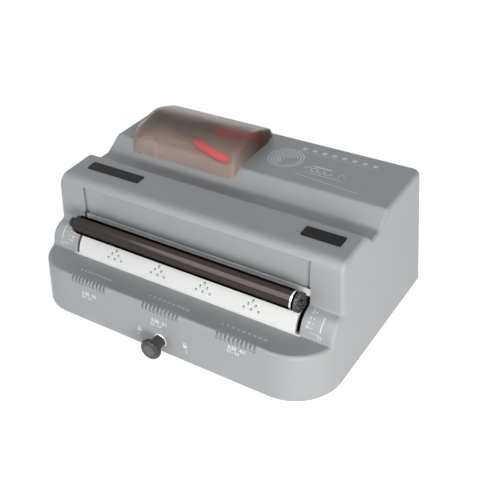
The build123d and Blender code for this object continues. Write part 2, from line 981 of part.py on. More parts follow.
with BuildPart() as shaft_bushes:
    for start in (-arm_inner, arm_inner - shaft_bush_length):
        end = start + shaft_bush_length
        add(rod(start, end, pivot_y, pivot_height, tube_bore, output_radius + running_fit))
shaft_bushes.part.label = "shaft_bushes"
export_step(shaft_bushes.part, "parts/shaft_bushes.step")

with BuildPart() as roller_bushes:
    for start, end in ((-arm_outer, -boss_end), (boss_end, arm_outer)):
        add(rod(start, end, roller_y, roller_height, bush_radius, journal_radius + running_fit))
roller_bushes.part.label = "roller_bushes"
export_step(roller_bushes.part, "parts/roller_bushes.step")

with BuildPart() as brake_drum:
    add(rod(-brake_width / 2, brake_width / 2, pivot_y, pivot_height, drum_radius, tube_radius))
brake_drum.part.label = "brake_drum"
export_step(brake_drum.part, "parts/brake_drum.step")

belt_seat = arm_belt_radius - slip_fit
with BuildPart() as roller_belt:
    pivot_pulley = (pivot_y, pivot_height, arm_belt_radius)
    roller_wheel = (roller_y, roller_height, arm_belt_radius)
    flat_width = arm_pulley_width - 2 * arm_pulley_rim - 2 * slip_fit
    add(belt(-pulley_middle, flat_width, arm_belt_thickness, pivot_pulley, roller_wheel))
roller_belt.part.label = "roller_belt"
export_step(roller_belt.part, "parts/roller_belt.step")

# Roller: a polished tube on two plugs whose journals run in the arms
roller_left = roller_left_gap - slot_inner
roller_right = slot_inner - roller_right_gap
roller_bore = roller_radius - roller_wall
with BuildPart() as roller_tube:
    add(rod(roller_left, roller_right, roller_y, roller_height, roller_radius, roller_bore))
roller_tube.part.label = "roller_tube"
export_step(roller_tube.part, "parts/roller_tube.step")

with BuildPart() as roller_plugs:
    plug_end = boss_end - slip_fit
    left_tip = disc_inner + arm_pulley_width + journal_tip
    right_tip = disc_inner + end_disc_width + end_hub_length + journal_tip
    for start in (-plug_end, plug_end - roller_plug_length):
        add(rod(start, start + roller_plug_length, roller_y, roller_height, roller_bore))
    for start, end in ((-left_tip, -plug_end), (plug_end, right_tip)):
        add(rod(start, end, roller_y, roller_height, journal_radius))
    # A cap closes the left end, where the tube stops short of its arm
    add(rod(-plug_end, roller_left, roller_y, roller_height, roller_cap_radius))
roller_plugs.part.label = "roller_plugs"
export_step(roller_plugs.part, "parts/roller_plugs.step")

with BuildPart() as roller_pulley:
    add(pulley(-pulley_middle, arm_pulley_width, arm_pulley_rim, belt_seat, arm_pulley_flange,
               journal_radius, roller_y, roller_height))
roller_pulley.part.label = "roller_pulley"
export_step(roller_pulley.part, "parts/roller_pulley.step")

with BuildPart() as roller_end_disc:
    disc_outer = disc_inner + end_disc_width
    dish = (disc_outer - end_disc_dish, disc_outer)
    hub = (disc_inner, disc_outer + end_hub_length)
    add(rod(disc_inner, disc_outer, roller_y, roller_height, end_disc_radius, journal_radius))
    add(rod(*dish, roller_y, roller_height, end_disc_radius - end_disc_rim), mode=Mode.SUBTRACT)
    add(rod(*hub, roller_y, roller_height, end_hub_radius, journal_radius))
roller_end_disc.part.label = "roller_end_disc"
export_step(roller_end_disc.part, "parts/roller_end_disc.step")

# Drive shaft inside the cross tube, with a pulley for each belt
with BuildPart() as drive_shaft:
    add(rod(-shaft_left, slot_inner - shaft_right_gap, pivot_y, pivot_height, output_radius))
drive_shaft.part.label = "drive_shaft"
export_step(drive_shaft.part, "parts/drive_shaft.step")

with BuildPart() as arm_drive_pulley:
    add(pulley(-pulley_middle, arm_pulley_width, arm_pulley_rim, belt_seat, arm_pulley_flange,
               output_radius, pivot_y, pivot_height))
arm_drive_pulley.part.label = "arm_drive_pulley"
export_step(arm_drive_pulley.part, "parts/arm_drive_pulley.step")

wheel_width = belt_width + 2 * pulley_rim + 2 * slip_fit
with BuildPart() as shaft_pulley:
    add(pulley(-belt_plane, wheel_width, pulley_rim, shaft_pulley_radius - slip_fit, pulley_flange,
               output_radius, pivot_y, pivot_height))
shaft_pulley.part.label = "shaft_pulley"
export_step(shaft_pulley.part, "parts/shaft_pulley.step")

# Gear motor on an angle bracket, with its shaft, pulley and belt
with BuildPart() as motor_bracket:
    bracket_half = gearbox_radius + motor_side
    with BuildSketch(side(-gearbox_face - motor_plate)):
        with BuildLine():
            Polyline(
                (motor_y - bracket_half, deck),
                (motor_y + bracket_half, deck),
                (motor_y + gearbox_radius, motor_height + gearbox_radius),
                (motor_y - gearbox_radius, motor_height + gearbox_radius),
                close=True,
            )
        make_face()
        with Locations((motor_y, motor_height)):
            Circle(motor_hole_radius, mode=Mode.SUBTRACT)
    extrude(amount=motor_plate)
    with BuildSketch(level(deck)):
        with Locations((-gearbox_face - motor_plate, motor_y)):
            Rectangle(gearbox_length + motor_plate, 2 * bracket_half, align=(Align.MIN, Align.CENTER))
        with Locations((motor_ear_x, motor_y - motor_ear), (motor_ear_x, motor_y + motor_ear)):
            Circle(screw_radius + slip_fit, mode=Mode.SUBTRACT)
    extrude(amount=motor_plate)
motor_bracket.part.label = "motor_bracket"
export_step(motor_bracket.part, "parts/motor_bracket.step")

motor_start = gearbox_length - gearbox_face
with BuildPart() as gearbox:
    add(rod(-gearbox_face, motor_start, motor_y, motor_height, gearbox_radius))
    with BuildSketch(side(-gearbox_face)):
        with Locations((motor_y, motor_height)):
            Circle(output_radius + running_fit)
    extrude(amount=gearbox_bore_depth, mode=Mode.SUBTRACT)
gearbox.part.label = "gearbox"
export_step(gearbox.part, "parts/gearbox.step")

with BuildPart() as motor:
    add(rod(motor_start, motor_start + motor_length, motor_y, motor_height, motor_radius))
    fillet(motor.edges().filter_by(GeomType.CIRCLE).sort_by(Axis.X)[-1], motor_edge)
    add(rod(motor_start + motor_length, motor_start + motor_length + motor_tail,
            motor_y, motor_height, motor_tail_radius))
motor.part.label = "motor"
export_step(motor.part, "parts/motor.step")

with BuildPart() as motor_shaft:
    shaft_end = -gearbox_face + gearbox_bore_depth - free_gap
    add(rod(-shaft_left, shaft_end, motor_y, motor_height, output_radius))
motor_shaft.part.label = "motor_shaft"
export_step(motor_shaft.part, "parts/motor_shaft.step")

with BuildPart() as motor_pulley:
    add(pulley(-belt_plane, wheel_width, pulley_rim, motor_pulley_radius - slip_fit, pulley_flange,
               output_radius, motor_y, motor_height))
motor_pulley.part.label = "motor_pulley"
export_step(motor_pulley.part, "parts/motor_pulley.step")

with BuildPart() as motor_belt:
    driven = (pivot_y, pivot_height, shaft_pulley_radius)
    driver = (motor_y, motor_height, motor_pulley_radius)
    add(belt(-belt_plane, belt_width, belt_thickness, driven, driver))
motor_belt.part.label = "motor_belt"
export_step(motor_belt.part, "parts/motor_belt.step")

# Lock: a bushing in the front wall, a fluted knob and a shaft with a cam
lock_plane = Plane(origin=place(0, 0, lock_height), x_dir=(0, 1, 0), z_dir=(1, 0, 0))
lock_axis = Axis(place(0, 0, lock_height), (0, 1, 0))
seat_y = lock_height * tan(radians(draft)) + free_gap
flange_y = seat_y - lock_flange
with BuildPart() as lock_bushing:
    with BuildSketch(lock_plane):
        with BuildLine():
            Polyline(
                (flange_y, lock_shaft_radius + running_fit),
                (flange_y, lock_flange_radius - lock_flange_edge),
                (flange_y + lock_flange_edge, lock_flange_radius),
                (seat_y, lock_flange_radius),
                (seat_y, lock_thread_radius),
                (seat_y + lock_thread_length, lock_thread_radius),
                (seat_y + lock_thread_length, lock_shaft_radius + running_fit),
                close=True,
            )
        make_face()
    revolve(axis=lock_axis)
lock_bushing.part.label = "lock_bushing"
export_step(lock_bushing.part, "parts/lock_bushing.step")

with BuildPart() as lock_nut:
    nut_y = (lock_height + lock_nut_radius) * tan(radians(draft)) + casing_wall + slip_fit
    with BuildSketch(facing(nut_y)):
        with Locations((0, lock_height)):
            RegularPolygon(lock_nut_radius, 6)
            Circle(lock_thread_radius, mode=Mode.SUBTRACT)
    extrude(amount=-lock_nut_length)
lock_nut.part.label = "lock_nut"
export_step(lock_nut.part, "parts/lock_nut.step")

head_back = knob_head - knob_reach
neck_back = flange_y - free_gap
with BuildPart() as lock_knob:
    with BuildSketch(lock_plane) as profile:
        with BuildLine():
            Polyline(
                (-knob_reach, 0),
                (-knob_reach, knob_radius),
                (head_back, knob_radius),
                (head_back, knob_neck),
                (neck_back, knob_neck),
                (neck_back, 0),
                close=True,
            )
        make_face()
        fillet(profile.vertices().sort_by_distance((-knob_reach, knob_radius, 0))[0], knob_crown)
        fillet(profile.vertices().sort_by_distance((head_back, knob_radius, 0))[0], knob_edge)
        fillet(profile.vertices().sort_by_distance((head_back, knob_neck, 0))[0], knob_edge)
    revolve(axis=lock_axis)
    with BuildSketch(facing(head_back)):
        with Locations((0, lock_height)):
            with PolarLocations(knob_radius + flute_radius - flute_bite, knob_flutes):
                Circle(flute_radius)
    extrude(amount=overrun, mode=Mode.SUBTRACT)
    with BuildSketch(facing(-knob_reach + knob_socket)):
        with Locations((0, lock_height)):
            Circle(lock_shaft_radius)
    extrude(amount=-knob_reach, mode=Mode.SUBTRACT)
lock_knob.part.label = "lock_knob"
export_step(lock_knob.part, "parts/lock_knob.step")

brake_front = pivot_y - brake_length / 2
brake_back = pivot_y + brake_length / 2
guide_front = brake_front - slip_fit - guide_plate
guide_back = brake_back + slip_fit
with BuildPart() as lock_shaft:
    shaft_front = -knob_reach + knob_socket
    with BuildSketch(facing(shaft_front)):
        with Locations((0, lock_height)):
            Circle(lock_shaft_radius)
    extrude(amount=shaft_front - guide_back - guide_plate - lock_shaft_tip)
lock_shaft.part.label = "lock_shaft"
export_step(lock_shaft.part, "parts/lock_shaft.step")

with BuildPart() as lock_cam:
    with BuildSketch(facing(brake_front + guide_plate)):
        with Locations((0, lock_height + cam_throw)):
            Circle(cam_radius)
        with Locations((0, lock_height)):
            Circle(lock_shaft_radius, mode=Mode.SUBTRACT)
    extrude(amount=2 * guide_plate - brake_length)
lock_cam.part.label = "lock_cam"
export_step(lock_cam.part, "parts/lock_cam.step")

# Brake: a lined shoe that the cam holds up under the drum, between two uprights
shoe_low = lock_height + cam_throw + cam_radius + cam_gap
lining_radius = drum_radius + lining_gap
shoe_radius = lining_radius + lining_thickness


def shoe_block(bore):
    """A block under the drum, as long as the shoe, hollowed from above."""
    with BuildPart() as block:
        with BuildSketch(side(-brake_width / 2)):
            with Locations((pivot_y, shoe_low)):
                Rectangle(brake_length, pivot_height - shoe_low, align=(Align.CENTER, Align.MIN))
            with Locations((pivot_y, pivot_height)):
                Circle(bore, mode=Mode.SUBTRACT)
        extrude(amount=brake_width)
    return block.part


with BuildPart() as brake_shoe:
    add(shoe_block(shoe_radius))
brake_shoe.part.label = "brake_shoe"
export_step(brake_shoe.part, "parts/brake_shoe.step")

with BuildPart() as brake_lining:
    add(shoe_block(lining_radius))
    add(rod(-brake_width / 2, brake_width / 2, pivot_y, pivot_height, shoe_radius), mode=Mode.INTERSECT)
brake_lining.part.label = "brake_lining"
export_step(brake_lining.part, "parts/brake_lining.step")

with BuildPart() as brake_guide:
    with BuildSketch(level(deck)):
        with Locations((0, guide_front)):
            Rectangle(
                2 * guide_half,
                guide_back + guide_plate - guide_front,
                align=(Align.CENTER, Align.MIN),
            )
        with Locations((-guide_ear, pivot_y), (guide_ear, pivot_y)):
            Circle(screw_radius + slip_fit, mode=Mode.SUBTRACT)
    extrude(amount=guide_plate)
    for y in (guide_front, guide_back):
        with BuildSketch(facing(y)):
            with Locations((0, deck)):
                Rectangle(
                    brake_width + 2 * guide_plate,
                    shoe_low + guide_lift - deck,
                    align=(Align.CENTER, Align.MIN),
                )
            with Locations((0, lock_height)):
                Circle(lock_shaft_radius + running_fit, mode=Mode.SUBTRACT)
        extrude(amount=-guide_plate)
brake_guide.part.label = "brake_guide"
export_step(brake_guide.part, "parts/brake_guide.step")

# Lid: a clear dome over the tray, hinged at the back on one pin
lid_width = lid_right - lid_left
hinge_height = roof(hinge_y) + hinge_rise
barrel_start = hinge_middle - hinge_barrel / 2
with BuildPart() as lid:
    add(lid_form())
    add(lid_form(lid_wall), mode=Mode.SUBTRACT)
    for start in (barrel_start - slip_fit - knuckle_length, barrel_start + hinge_barrel + slip_fit):
        add(rod(start, start + knuckle_length, hinge_y, hinge_height, hinge_radius))
    extrude(casing_outline(-lid_gap), amount=casing_width / 2, both=True, mode=Mode.SUBTRACT)
    with BuildSketch(side(lid_left)):
        with Locations((top_front_y + lid_rear_start, roof(hinge_y) + lid_rear_lift)):
            Rectangle(overrun, overrun, align=(Align.MIN, Align.MAX))
    extrude(amount=lid_width, mode=Mode.SUBTRACT)
    with BuildSketch(side(barrel_start - slip_fit)):
        with Locations((hinge_y, hinge_height)):
            Circle(hinge_radius + free_gap)
            Rectangle(2 * (hinge_radius + free_gap), overrun, align=(Align.CENTER, Align.MAX))
    extrude(amount=hinge_barrel + 2 * slip_fit, mode=Mode.SUBTRACT)
    with BuildSketch(side(lid_left)):
        with Locations((hinge_y, hinge_height)):
            Circle(hinge_pin_radius + running_fit)
    extrude(amount=lid_width, mode=Mode.SUBTRACT)
lid.part.label = "lid"
export_step(lid.part, "parts/lid.step")

with BuildPart() as lid_hinge_bracket:
    add(rod(barrel_start, barrel_start + hinge_barrel, hinge_y, hinge_height, hinge_radius))
    with BuildSketch(side(barrel_start)):
        with Locations((hinge_y, hinge_height)):
            Rectangle(hinge_web, hinge_rise + casing_wall, align=(Align.CENTER, Align.MAX))
        with Locations((hinge_y, roof(hinge_y) + plate_thickness)):
            Rectangle(hinge_foot, plate_thickness + casing_wall, align=(Align.CENTER, Align.MAX))
    extrude(amount=hinge_barrel)
    extrude(casing_outline(), amount=casing_width / 2, both=True, mode=Mode.SUBTRACT)
    with BuildSketch(side(barrel_start)):
        with Locations((hinge_y, hinge_height)):
            Circle(hinge_pin_radius)
    extrude(amount=hinge_barrel, mode=Mode.SUBTRACT)
lid_hinge_bracket.part.label = "lid_hinge_bracket"
export_step(lid_hinge_bracket.part, "parts/lid_hinge_bracket.step")

with BuildPart() as lid_hinge_pin:
    pin_half = hinge_barrel / 2 + slip_fit + knuckle_length
    add(rod(hinge_middle - pin_half, hinge_middle + pin_half, hinge_y, hinge_height, hinge_pin_radius))
lid_hinge_pin.part.label = "lid_hinge_pin"
export_step(lid_hinge_pin.part, "parts/lid_hinge_pin.step")

# Storage tray: a shallow liner that drops into the casing's top under the lid


def tray_shape(rise, spread):
    """The tray's outline grown by spread, on the top lifted by rise."""
    with BuildSketch(roof_plane(*tray_middle, rise)) as shape:
        RectangleRounded(
            tray_right - tray_left + 2 * spread, tray_depth + 2 * spread, tray_corner + spread
        )
    return shape.sketch


with BuildPart() as storage_tray:
    extrude(tray_shape(0, tray_flange), amount=tray_flange_thickness)
    extrude(tray_shape(-tray_sink - tray_wall, -free_gap), amount=tray_sink + tray_wall)
    extrude(tray_shape(-tray_sink, -tray_flange), amount=overrun, mode=Mode.SUBTRACT)
storage_tray.part.label = "storage_tray"
export_step(storage_tray.part, "parts/storage_tray.step")

# Crimping pliers kept in the tray: two crossed levers on a rivet, with dipped grips
lever_low = pliers_rise - lever_thickness - lever_gap / 2
lever_high = pliers_rise + lever_gap / 2
with BuildPart() as pliers_lever_fixed:
    add(lever(1, lever_low, pliers_pin_radius, 0))
pliers_lever_fixed.part.label = "pliers_lever_fixed"
export_step(pliers_lever_fixed.part, "parts/pliers_lever_fixed.step")

with BuildPart() as pliers_grip_fixed:
    add(grip(1))
    add(pliers_lever_fixed.part, mode=Mode.SUBTRACT)
pliers_grip_fixed.part.label = "pliers_grip_fixed"
export_step(pliers_grip_fixed.part, "parts/pliers_grip_fixed.step")

with BuildPart() as pliers_lever_moving:
    add(lever(-1, lever_high, pliers_pin_radius + running_fit, -jaw_opening))
pliers_lever_moving.part.label = "pliers_lever_moving"
export_step(pliers_lever_moving.part, "parts/pliers_lever_moving.step")

with BuildPart() as pliers_grip_moving:
    add(grip(-1))
    add(pliers_lever_moving.part, mode=Mode.SUBTRACT)
pliers_grip_moving.part.label = "pliers_grip_moving"
export_step(pliers_grip_moving.part, "parts/pliers_grip_moving.step")

with BuildPart() as pliers_rivet:
    rivet_top = lever_high + lever_thickness + lever_gap
    with BuildSketch(pliers_plane(lever_low)):
        Circle(pliers_pin_radius)
    extrude(amount=rivet_top - lever_low)
    with BuildSketch(pliers_plane(lever_low - rivet_head)):
        Circle(rivet_head_radius)
    extrude(amount=rivet_head)
    with BuildSketch(pliers_plane(rivet_top)):
        Circle(rivet_head_radius)
    extrude(amount=rivet_head)
pliers_rivet.part.label = "pliers_rivet"
export_step(pliers_rivet.part, "parts/pliers_rivet.step")

# Rear fittings: power inlet, its pins, rocker switch and pedal jack
panel_back = panel_y + plate_thickness
with BuildPart() as power_inlet:
    with BuildSketch(facing(panel_back + inlet_plate)):
        with Locations((inlet_x, fitting_height)):
            RectangleRounded(
                inlet_width + 2 * inlet_wall + 2 * inlet_flange,
                inlet_tall + 2 * inlet_wall + 2 * inlet_flange,
                inlet_corner,
            )
    extrude(amount=inlet_plate)
    with BuildSketch(facing(panel_back)):
        with Locations((inlet_x, fitting_height)):
            Rectangle(inlet_width + 2 * inlet_wall, inlet_tall + 2 * inlet_wall)
    extrude(amount=inlet_depth)
    with BuildSketch(facing(panel_back + inlet_plate)):
        with Locations((inlet_x, fitting_height)):
            RectangleRounded(inlet_width, inlet_tall, inlet_wall)
    extrude(amount=inlet_plate + inlet_depth - inlet_wall, mode=Mode.SUBTRACT)
power_inlet.part.label = "power_inlet"
export_step(power_inlet.part, "parts/power_inlet.step")

with BuildPart() as inlet_pins:
    inlet_floor = panel_back - inlet_depth + inlet_wall
    with BuildSketch(facing(inlet_floor)):
        with Locations(
            (inlet_x - pin_spacing, fitting_height - pin_rise),
            (inlet_x, fitting_height + pin_rise),
            (inlet_x + pin_spacing, fitting_height - pin_rise),
        ):
            Rectangle(pin_thick, pin_width)
    extrude(amount=-pin_reach)
inlet_pins.part.label = "inlet_pins"
export_step(inlet_pins.part, "parts/inlet_pins.step")

rocker_y = panel_back - rocker_valley
with BuildPart() as switch_bezel:
    with BuildSketch(facing(panel_back + switch_wall)):
        with Locations((switch_x, fitting_height)):
            RectangleRounded(
                switch_width + 2 * switch_wall + 2 * switch_rim,
                switch_tall + 2 * switch_wall + 2 * switch_rim,
                switch_rim,
            )
    extrude(amount=switch_wall)
    with BuildSketch(facing(panel_back)):
        with Locations((switch_x, fitting_height)):
            Rectangle(switch_width + 2 * switch_wall, switch_tall + 2 * switch_wall)
    extrude(amount=switch_depth)
    with BuildSketch(facing(panel_back + switch_wall)):
        with Locations((switch_x, fitting_height)):
            Rectangle(switch_width, switch_tall)
    extrude(amount=switch_depth, mode=Mode.SUBTRACT)
    stub_half = switch_width / 2 + switch_wall
    bearing = rod(
        switch_x - stub_half, switch_x + stub_half, rocker_y, fitting_height, rocker_stub + running_fit
    )
    add(bearing, mode=Mode.SUBTRACT)
switch_bezel.part.label = "switch_bezel"
export_step(switch_bezel.part, "parts/switch_bezel.step")

with BuildPart() as switch_rocker:
    lean = radians(rocker_tilt)
    rocker_plane = Plane(
        origin=place(switch_x - switch_width / 2 + slip_fit, rocker_y, fitting_height),
        x_dir=(0, cos(lean), sin(lean)),
        z_dir=(1, 0, 0),
    )
    with BuildSketch(rocker_plane):
        with BuildLine():
            Polyline(
                (rocker_reach, rocker_half),
                (rocker_valley, 0),
                (rocker_reach, -rocker_half),
                (-rocker_back, -rocker_back),
                (-rocker_back, rocker_back),
                close=True,
            )
        make_face()
    extrude(amount=switch_width - 2 * slip_fit)
    stub_end = stub_half - slip_fit
    add(rod(switch_x - stub_end, switch_x + stub_end, rocker_y, fitting_height, rocker_stub))
switch_rocker.part.label = "switch_rocker"
export_step(switch_rocker.part, "parts/switch_rocker.step")

with BuildPart() as pedal_jack:
    with BuildSketch(facing(panel_back + jack_nut_length)):
        with Locations((jack_x, fitting_height)):
            Circle(jack_radius)
    extrude(amount=plate_thickness + jack_nut_length)
    with BuildSketch(facing(panel_y)):
        with Locations((jack_x, fitting_height)):
            Rectangle(jack_body, jack_body)
    extrude(amount=jack_length - plate_thickness)
    with BuildSketch(facing(panel_back + jack_nut_length)):
        with Locations((jack_x, fitting_height)):
            Circle(jack_bore)
    extrude(amount=jack_length, mode=Mode.SUBTRACT)
pedal_jack.part.label = "pedal_jack"
export_step(pedal_jack.part, "parts/pedal_jack.step")

with BuildPart() as jack_nut:
    with BuildSketch(facing(panel_back)):
        with Locations((jack_x, fitting_height)):
            RegularPolygon(jack_nut_radius, 6)
            Circle(jack_radius, mode=Mode.SUBTRACT)
    extrude(amount=-jack_nut_length)
jack_nut.part.label = "jack_nut"
export_step(jack_nut.part, "parts/jack_nut.step")

# Control board on four standoffs
with BuildPart() as board_standoffs:
    with BuildSketch(level(deck)):
        with Locations((board_x, board_y)):
            with GridLocations(board_width - 2 * standoff_inset, board_length - 2 * standoff_inset, 2, 2):
                Circle(standoff_radius)
    extrude(amount=board_lift)
board_standoffs.part.label = "board_standoffs"
export_step(board_standoffs.part, "parts/board_standoffs.step")

board_top = deck + board_lift + board_thickness
with BuildPart() as control_board:
    with BuildSketch(level(deck + board_lift)):
        with Locations((board_x, board_y)):
            Rectangle(board_width, board_length)
    extrude(amount=board_thickness)
control_board.part.label = "control_board"
export_step(control_board.part, "parts/control_board.step")

with BuildPart() as board_parts:
    with BuildSketch(level(board_top)):
        with Locations((board_x, board_y + part_pitch / 2)):
            with GridLocations(part_pitch, 1, 3, 1):
                Circle(capacitor_radius)
    extrude(amount=capacitor_height)
    with BuildSketch(level(board_top)):
        with Locations((board_x, board_y - part_pitch / 2)):
            with GridLocations(part_pitch, 1, 3, 1):
                Rectangle(relay_width, relay_length)
    extrude(amount=relay_height)
board_parts.part.label = "board_parts"
export_step(board_parts.part, "parts/board_parts.step")

# Transformer: laminated core, coil and a strap that holds it down
with BuildPart() as transformer_core:
    with BuildSketch(facing(board_y - core_depth / 2)):
        with Locations((core_x, deck)):
            Rectangle(core_width, core_height, align=(Align.CENTER, Align.MIN))
        with Locations((core_x, deck + core_height / 2)):
            with GridLocations(core_limb + core_window, 1, 2, 1):
                Rectangle(core_window, core_height - 2 * core_window, mode=Mode.SUBTRACT)
    extrude(amount=-core_depth)
transformer_core.part.label = "transformer_core"
export_step(transformer_core.part, "parts/transformer_core.step")

with BuildPart() as transformer_coil:
    with BuildSketch(level(deck + core_window + free_gap)):
        with Locations((core_x, board_y)):
            Rectangle(core_limb + 2 * core_window - 2 * free_gap, core_depth + 2 * coil_overhang)
            Rectangle(core_limb, core_depth, mode=Mode.SUBTRACT)
    extrude(amount=core_height - 2 * core_window - 2 * free_gap)
transformer_coil.part.label = "transformer_coil"
export_step(transformer_coil.part, "parts/transformer_coil.step")

with BuildPart() as transformer_strap:
    with BuildSketch(facing(board_y - core_depth / 2)):
        with Locations((core_x, deck)):
            Rectangle(core_width + 2 * strap, core_height + strap, align=(Align.CENTER, Align.MIN))
            Rectangle(core_width + 2 * strap_reach, strap, align=(Align.CENTER, Align.MIN))
            Rectangle(core_width, core_height, align=(Align.CENTER, Align.MIN), mode=Mode.SUBTRACT)
    extrude(amount=-core_depth)
    with BuildSketch(level(deck)):
        with Locations((core_x - strap_ear, board_y), (core_x + strap_ear, board_y)):
            Circle(screw_radius + slip_fit)
    extrude(amount=strap, mode=Mode.SUBTRACT)
transformer_strap.part.label = "transformer_strap"
export_step(transformer_strap.part, "parts/transformer_strap.step")
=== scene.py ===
import math

import bmesh
import bpy
from mathutils import Matrix, Vector
from mathutils.bvhtree import BVHTree


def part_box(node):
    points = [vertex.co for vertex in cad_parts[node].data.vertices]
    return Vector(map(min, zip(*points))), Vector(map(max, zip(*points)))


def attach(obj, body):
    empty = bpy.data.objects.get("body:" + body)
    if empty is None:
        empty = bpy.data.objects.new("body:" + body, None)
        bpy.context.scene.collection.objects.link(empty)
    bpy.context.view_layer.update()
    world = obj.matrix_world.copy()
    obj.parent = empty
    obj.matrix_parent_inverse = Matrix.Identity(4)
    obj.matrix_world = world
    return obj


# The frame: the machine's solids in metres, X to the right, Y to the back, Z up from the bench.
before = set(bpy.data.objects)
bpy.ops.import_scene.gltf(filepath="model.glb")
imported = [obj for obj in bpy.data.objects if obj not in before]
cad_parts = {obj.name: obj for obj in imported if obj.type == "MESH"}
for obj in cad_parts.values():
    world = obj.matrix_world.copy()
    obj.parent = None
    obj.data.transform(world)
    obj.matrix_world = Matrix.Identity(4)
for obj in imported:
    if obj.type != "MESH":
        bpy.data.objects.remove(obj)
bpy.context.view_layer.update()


# Base plate and brackets: steel sheet, punched, folded and plated with zinc, dull and cloudy with a blue cast.
# The plate's back edge stands up as the rear panel. Pedestals, motor bracket, brake guide and the
# transformer's strap are screwed down on its floor.
SHARE, FIRST_COLOUR, SECOND_COLOUR, MIXED_COLOUR = 0, 6, 7, 2  # sockets of a Mix node that mixes colours
PATCH_DETAIL, GRAIN_DETAIL = 3.0, 2.0
RELIEF_DEPTH = 0.0001
SMOOTHEST = 0.02


def place_of(tree, space="Object"):
    """Where a point lies, in the piece's own space unless another one is named."""
    found = tree.nodes.get("Texture Coordinate") or tree.nodes.new("ShaderNodeTexCoord")
    return found.outputs[space]


def cloud(tree, scale, detail):
    """Noise fixed to the piece."""
    noise = tree.nodes.new("ShaderNodeTexNoise")
    noise.inputs["Scale"].default_value = scale
    noise.inputs["Detail"].default_value = detail
    tree.links.new(place_of(tree), noise.inputs["Vector"])
    return noise.outputs["Fac"]


def ramp(tree, value, start, end, low=0.0, high=1.0):
    """Runs from low to high while the value runs from start to end, and stays level outside."""
    span = tree.nodes.new("ShaderNodeMapRange")
    for socket, number in (("From Min", start), ("From Max", end), ("To Min", low), ("To Max", high)):
        span.inputs[socket].default_value = number
    tree.links.new(value, span.inputs["Value"])
    return span.outputs["Result"]


def mixed(tree, share, first, second):
    """A colour between two others, each plain or from a socket."""
    mix = tree.nodes.new("ShaderNodeMix")
    mix.data_type = "RGBA"
    tree.links.new(share, mix.inputs[SHARE])
    for socket, colour in ((FIRST_COLOUR, first), (SECOND_COLOUR, second)):
        if isinstance(colour, tuple):
            mix.inputs[socket].default_value = (*colour, 1)
        else:
            tree.links.new(colour, mix.inputs[socket])
    return mix.outputs[MIXED_COLOUR]


def finish(
    name, colour, second, roughness, metallic=0.0, patch=25, grain=900, relief=0.25, spread=0.08,
    specks=None, others=None,
):
    """A surface with colour that drifts in patches, uneven gloss and the relief of a fine grain.

    Specks give the narrow span of the drift in which the colour changes; others are plain values of the shader.
    """
    material = bpy.data.materials.new(name)
    material.use_nodes = True
    tree = material.node_tree
    shader = tree.nodes["Principled BSDF"]
    for socket, value in {"Metallic": metallic, **(others or {})}.items():
        shader.inputs[socket].default_value = value
    drift = cloud(tree, patch, PATCH_DETAIL)
    share = ramp(tree, drift, *specks) if specks else drift
    tree.links.new(mixed(tree, share, colour, second), shader.inputs["Base Color"])
    glossier, duller = max(roughness - spread, SMOOTHEST), min(roughness + spread, 1.0)
    tree.links.new(ramp(tree, drift, 0, 1, glossier, duller), shader.inputs["Roughness"])
    bump = tree.nodes.new("ShaderNodeBump")
    bump.inputs["Strength"].default_value = relief
    bump.inputs["Distance"].default_value = RELIEF_DEPTH
    tree.links.new(cloud(tree, grain, GRAIN_DETAIL), bump.inputs["Height"])
    tree.links.new(bump.outputs["Normal"], shader.inputs["Normal"])
    return material


def dress(material, *names):
    """Gives one finish to the machine's own solids."""
    for name in names:
        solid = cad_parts[name]
        solid.data.materials.clear()
        solid.data.materials.append(material)


zinc_sheet = finish(
    "zinc sheet", (0.42, 0.44, 0.47), (0.56, 0.57, 0.58), roughness=0.38, metallic=0.85,
    patch=60, grain=400, relief=0.1,
)
dress(zinc_sheet, "base_plate", "pedestal_left", "pedestal_right", "motor_bracket", "brake_guide")
dress(zinc_sheet, "transformer_strap")


# Screws, studs, pins and shafts: bright steel bar, turned and plain.
# The screws hold the casing and the brackets on the base plate, and the studs hold the feet with nuts.
# The cross tube and the shafts run in the bearings.
bright_steel = finish(
    "bright steel", (0.60, 0.60, 0.61), (0.68, 0.68, 0.68), roughness=0.25, metallic=1.0,
    patch=90, grain=1500, relief=0.08,
)
dress(bright_steel, "base_screws", "foot_studs", "bracket_screws", "lid_hinge_pin", "lock_nut", "inlet_pins")
dress(bright_steel, "cross_tube", "drive_shaft", "motor_shaft", "lock_shaft", "pliers_rivet")


# Feet and belts: soft black rubber, moulded.
# The feet are pads on the studs. The motor's belt and the roller's belt are flat loops stretched on pulleys.
black_rubber = finish(
    "black rubber", (0.018, 0.018, 0.018), (0.03, 0.03, 0.03), roughness=0.75, patch=60, grain=1200, relief=0.4,
)
dress(black_rubber, "rubber_feet", "motor_belt", "roller_belt")


# Bearings and board posts: plain bushes of oil-soaked sintered bronze, dull and finely pitted.
# They are pressed in the pedestals, the cross tube and the arms; the board's posts have the same tone.
bronze = finish(
    "sintered bronze", (0.42, 0.27, 0.11), (0.52, 0.36, 0.17), roughness=0.45, metallic=0.9,
    patch=200, grain=2500, relief=0.4,
)
dress(bronze, "pivot_bushes", "shaft_bushes", "roller_bushes", "board_standoffs")


# Motor drive: a cast gearbox with an enamelled can, and turned alloy pulleys.
# It is bolted to its bracket at the left behind the arms; the brake's drum and shoe are the same alloy.
cast_alloy = finish(
    "turned alloy", (0.50, 0.50, 0.51), (0.62, 0.62, 0.62), roughness=0.35, metallic=0.95, patch=80, relief=0.2,
)
motor_enamel = finish("motor enamel", (0.025, 0.026, 0.03), (0.04, 0.04, 0.045), roughness=0.35)
dress(cast_alloy, "gearbox", "motor_pulley", "shaft_pulley", "brake_drum", "brake_shoe")
dress(motor_enamel, "motor")


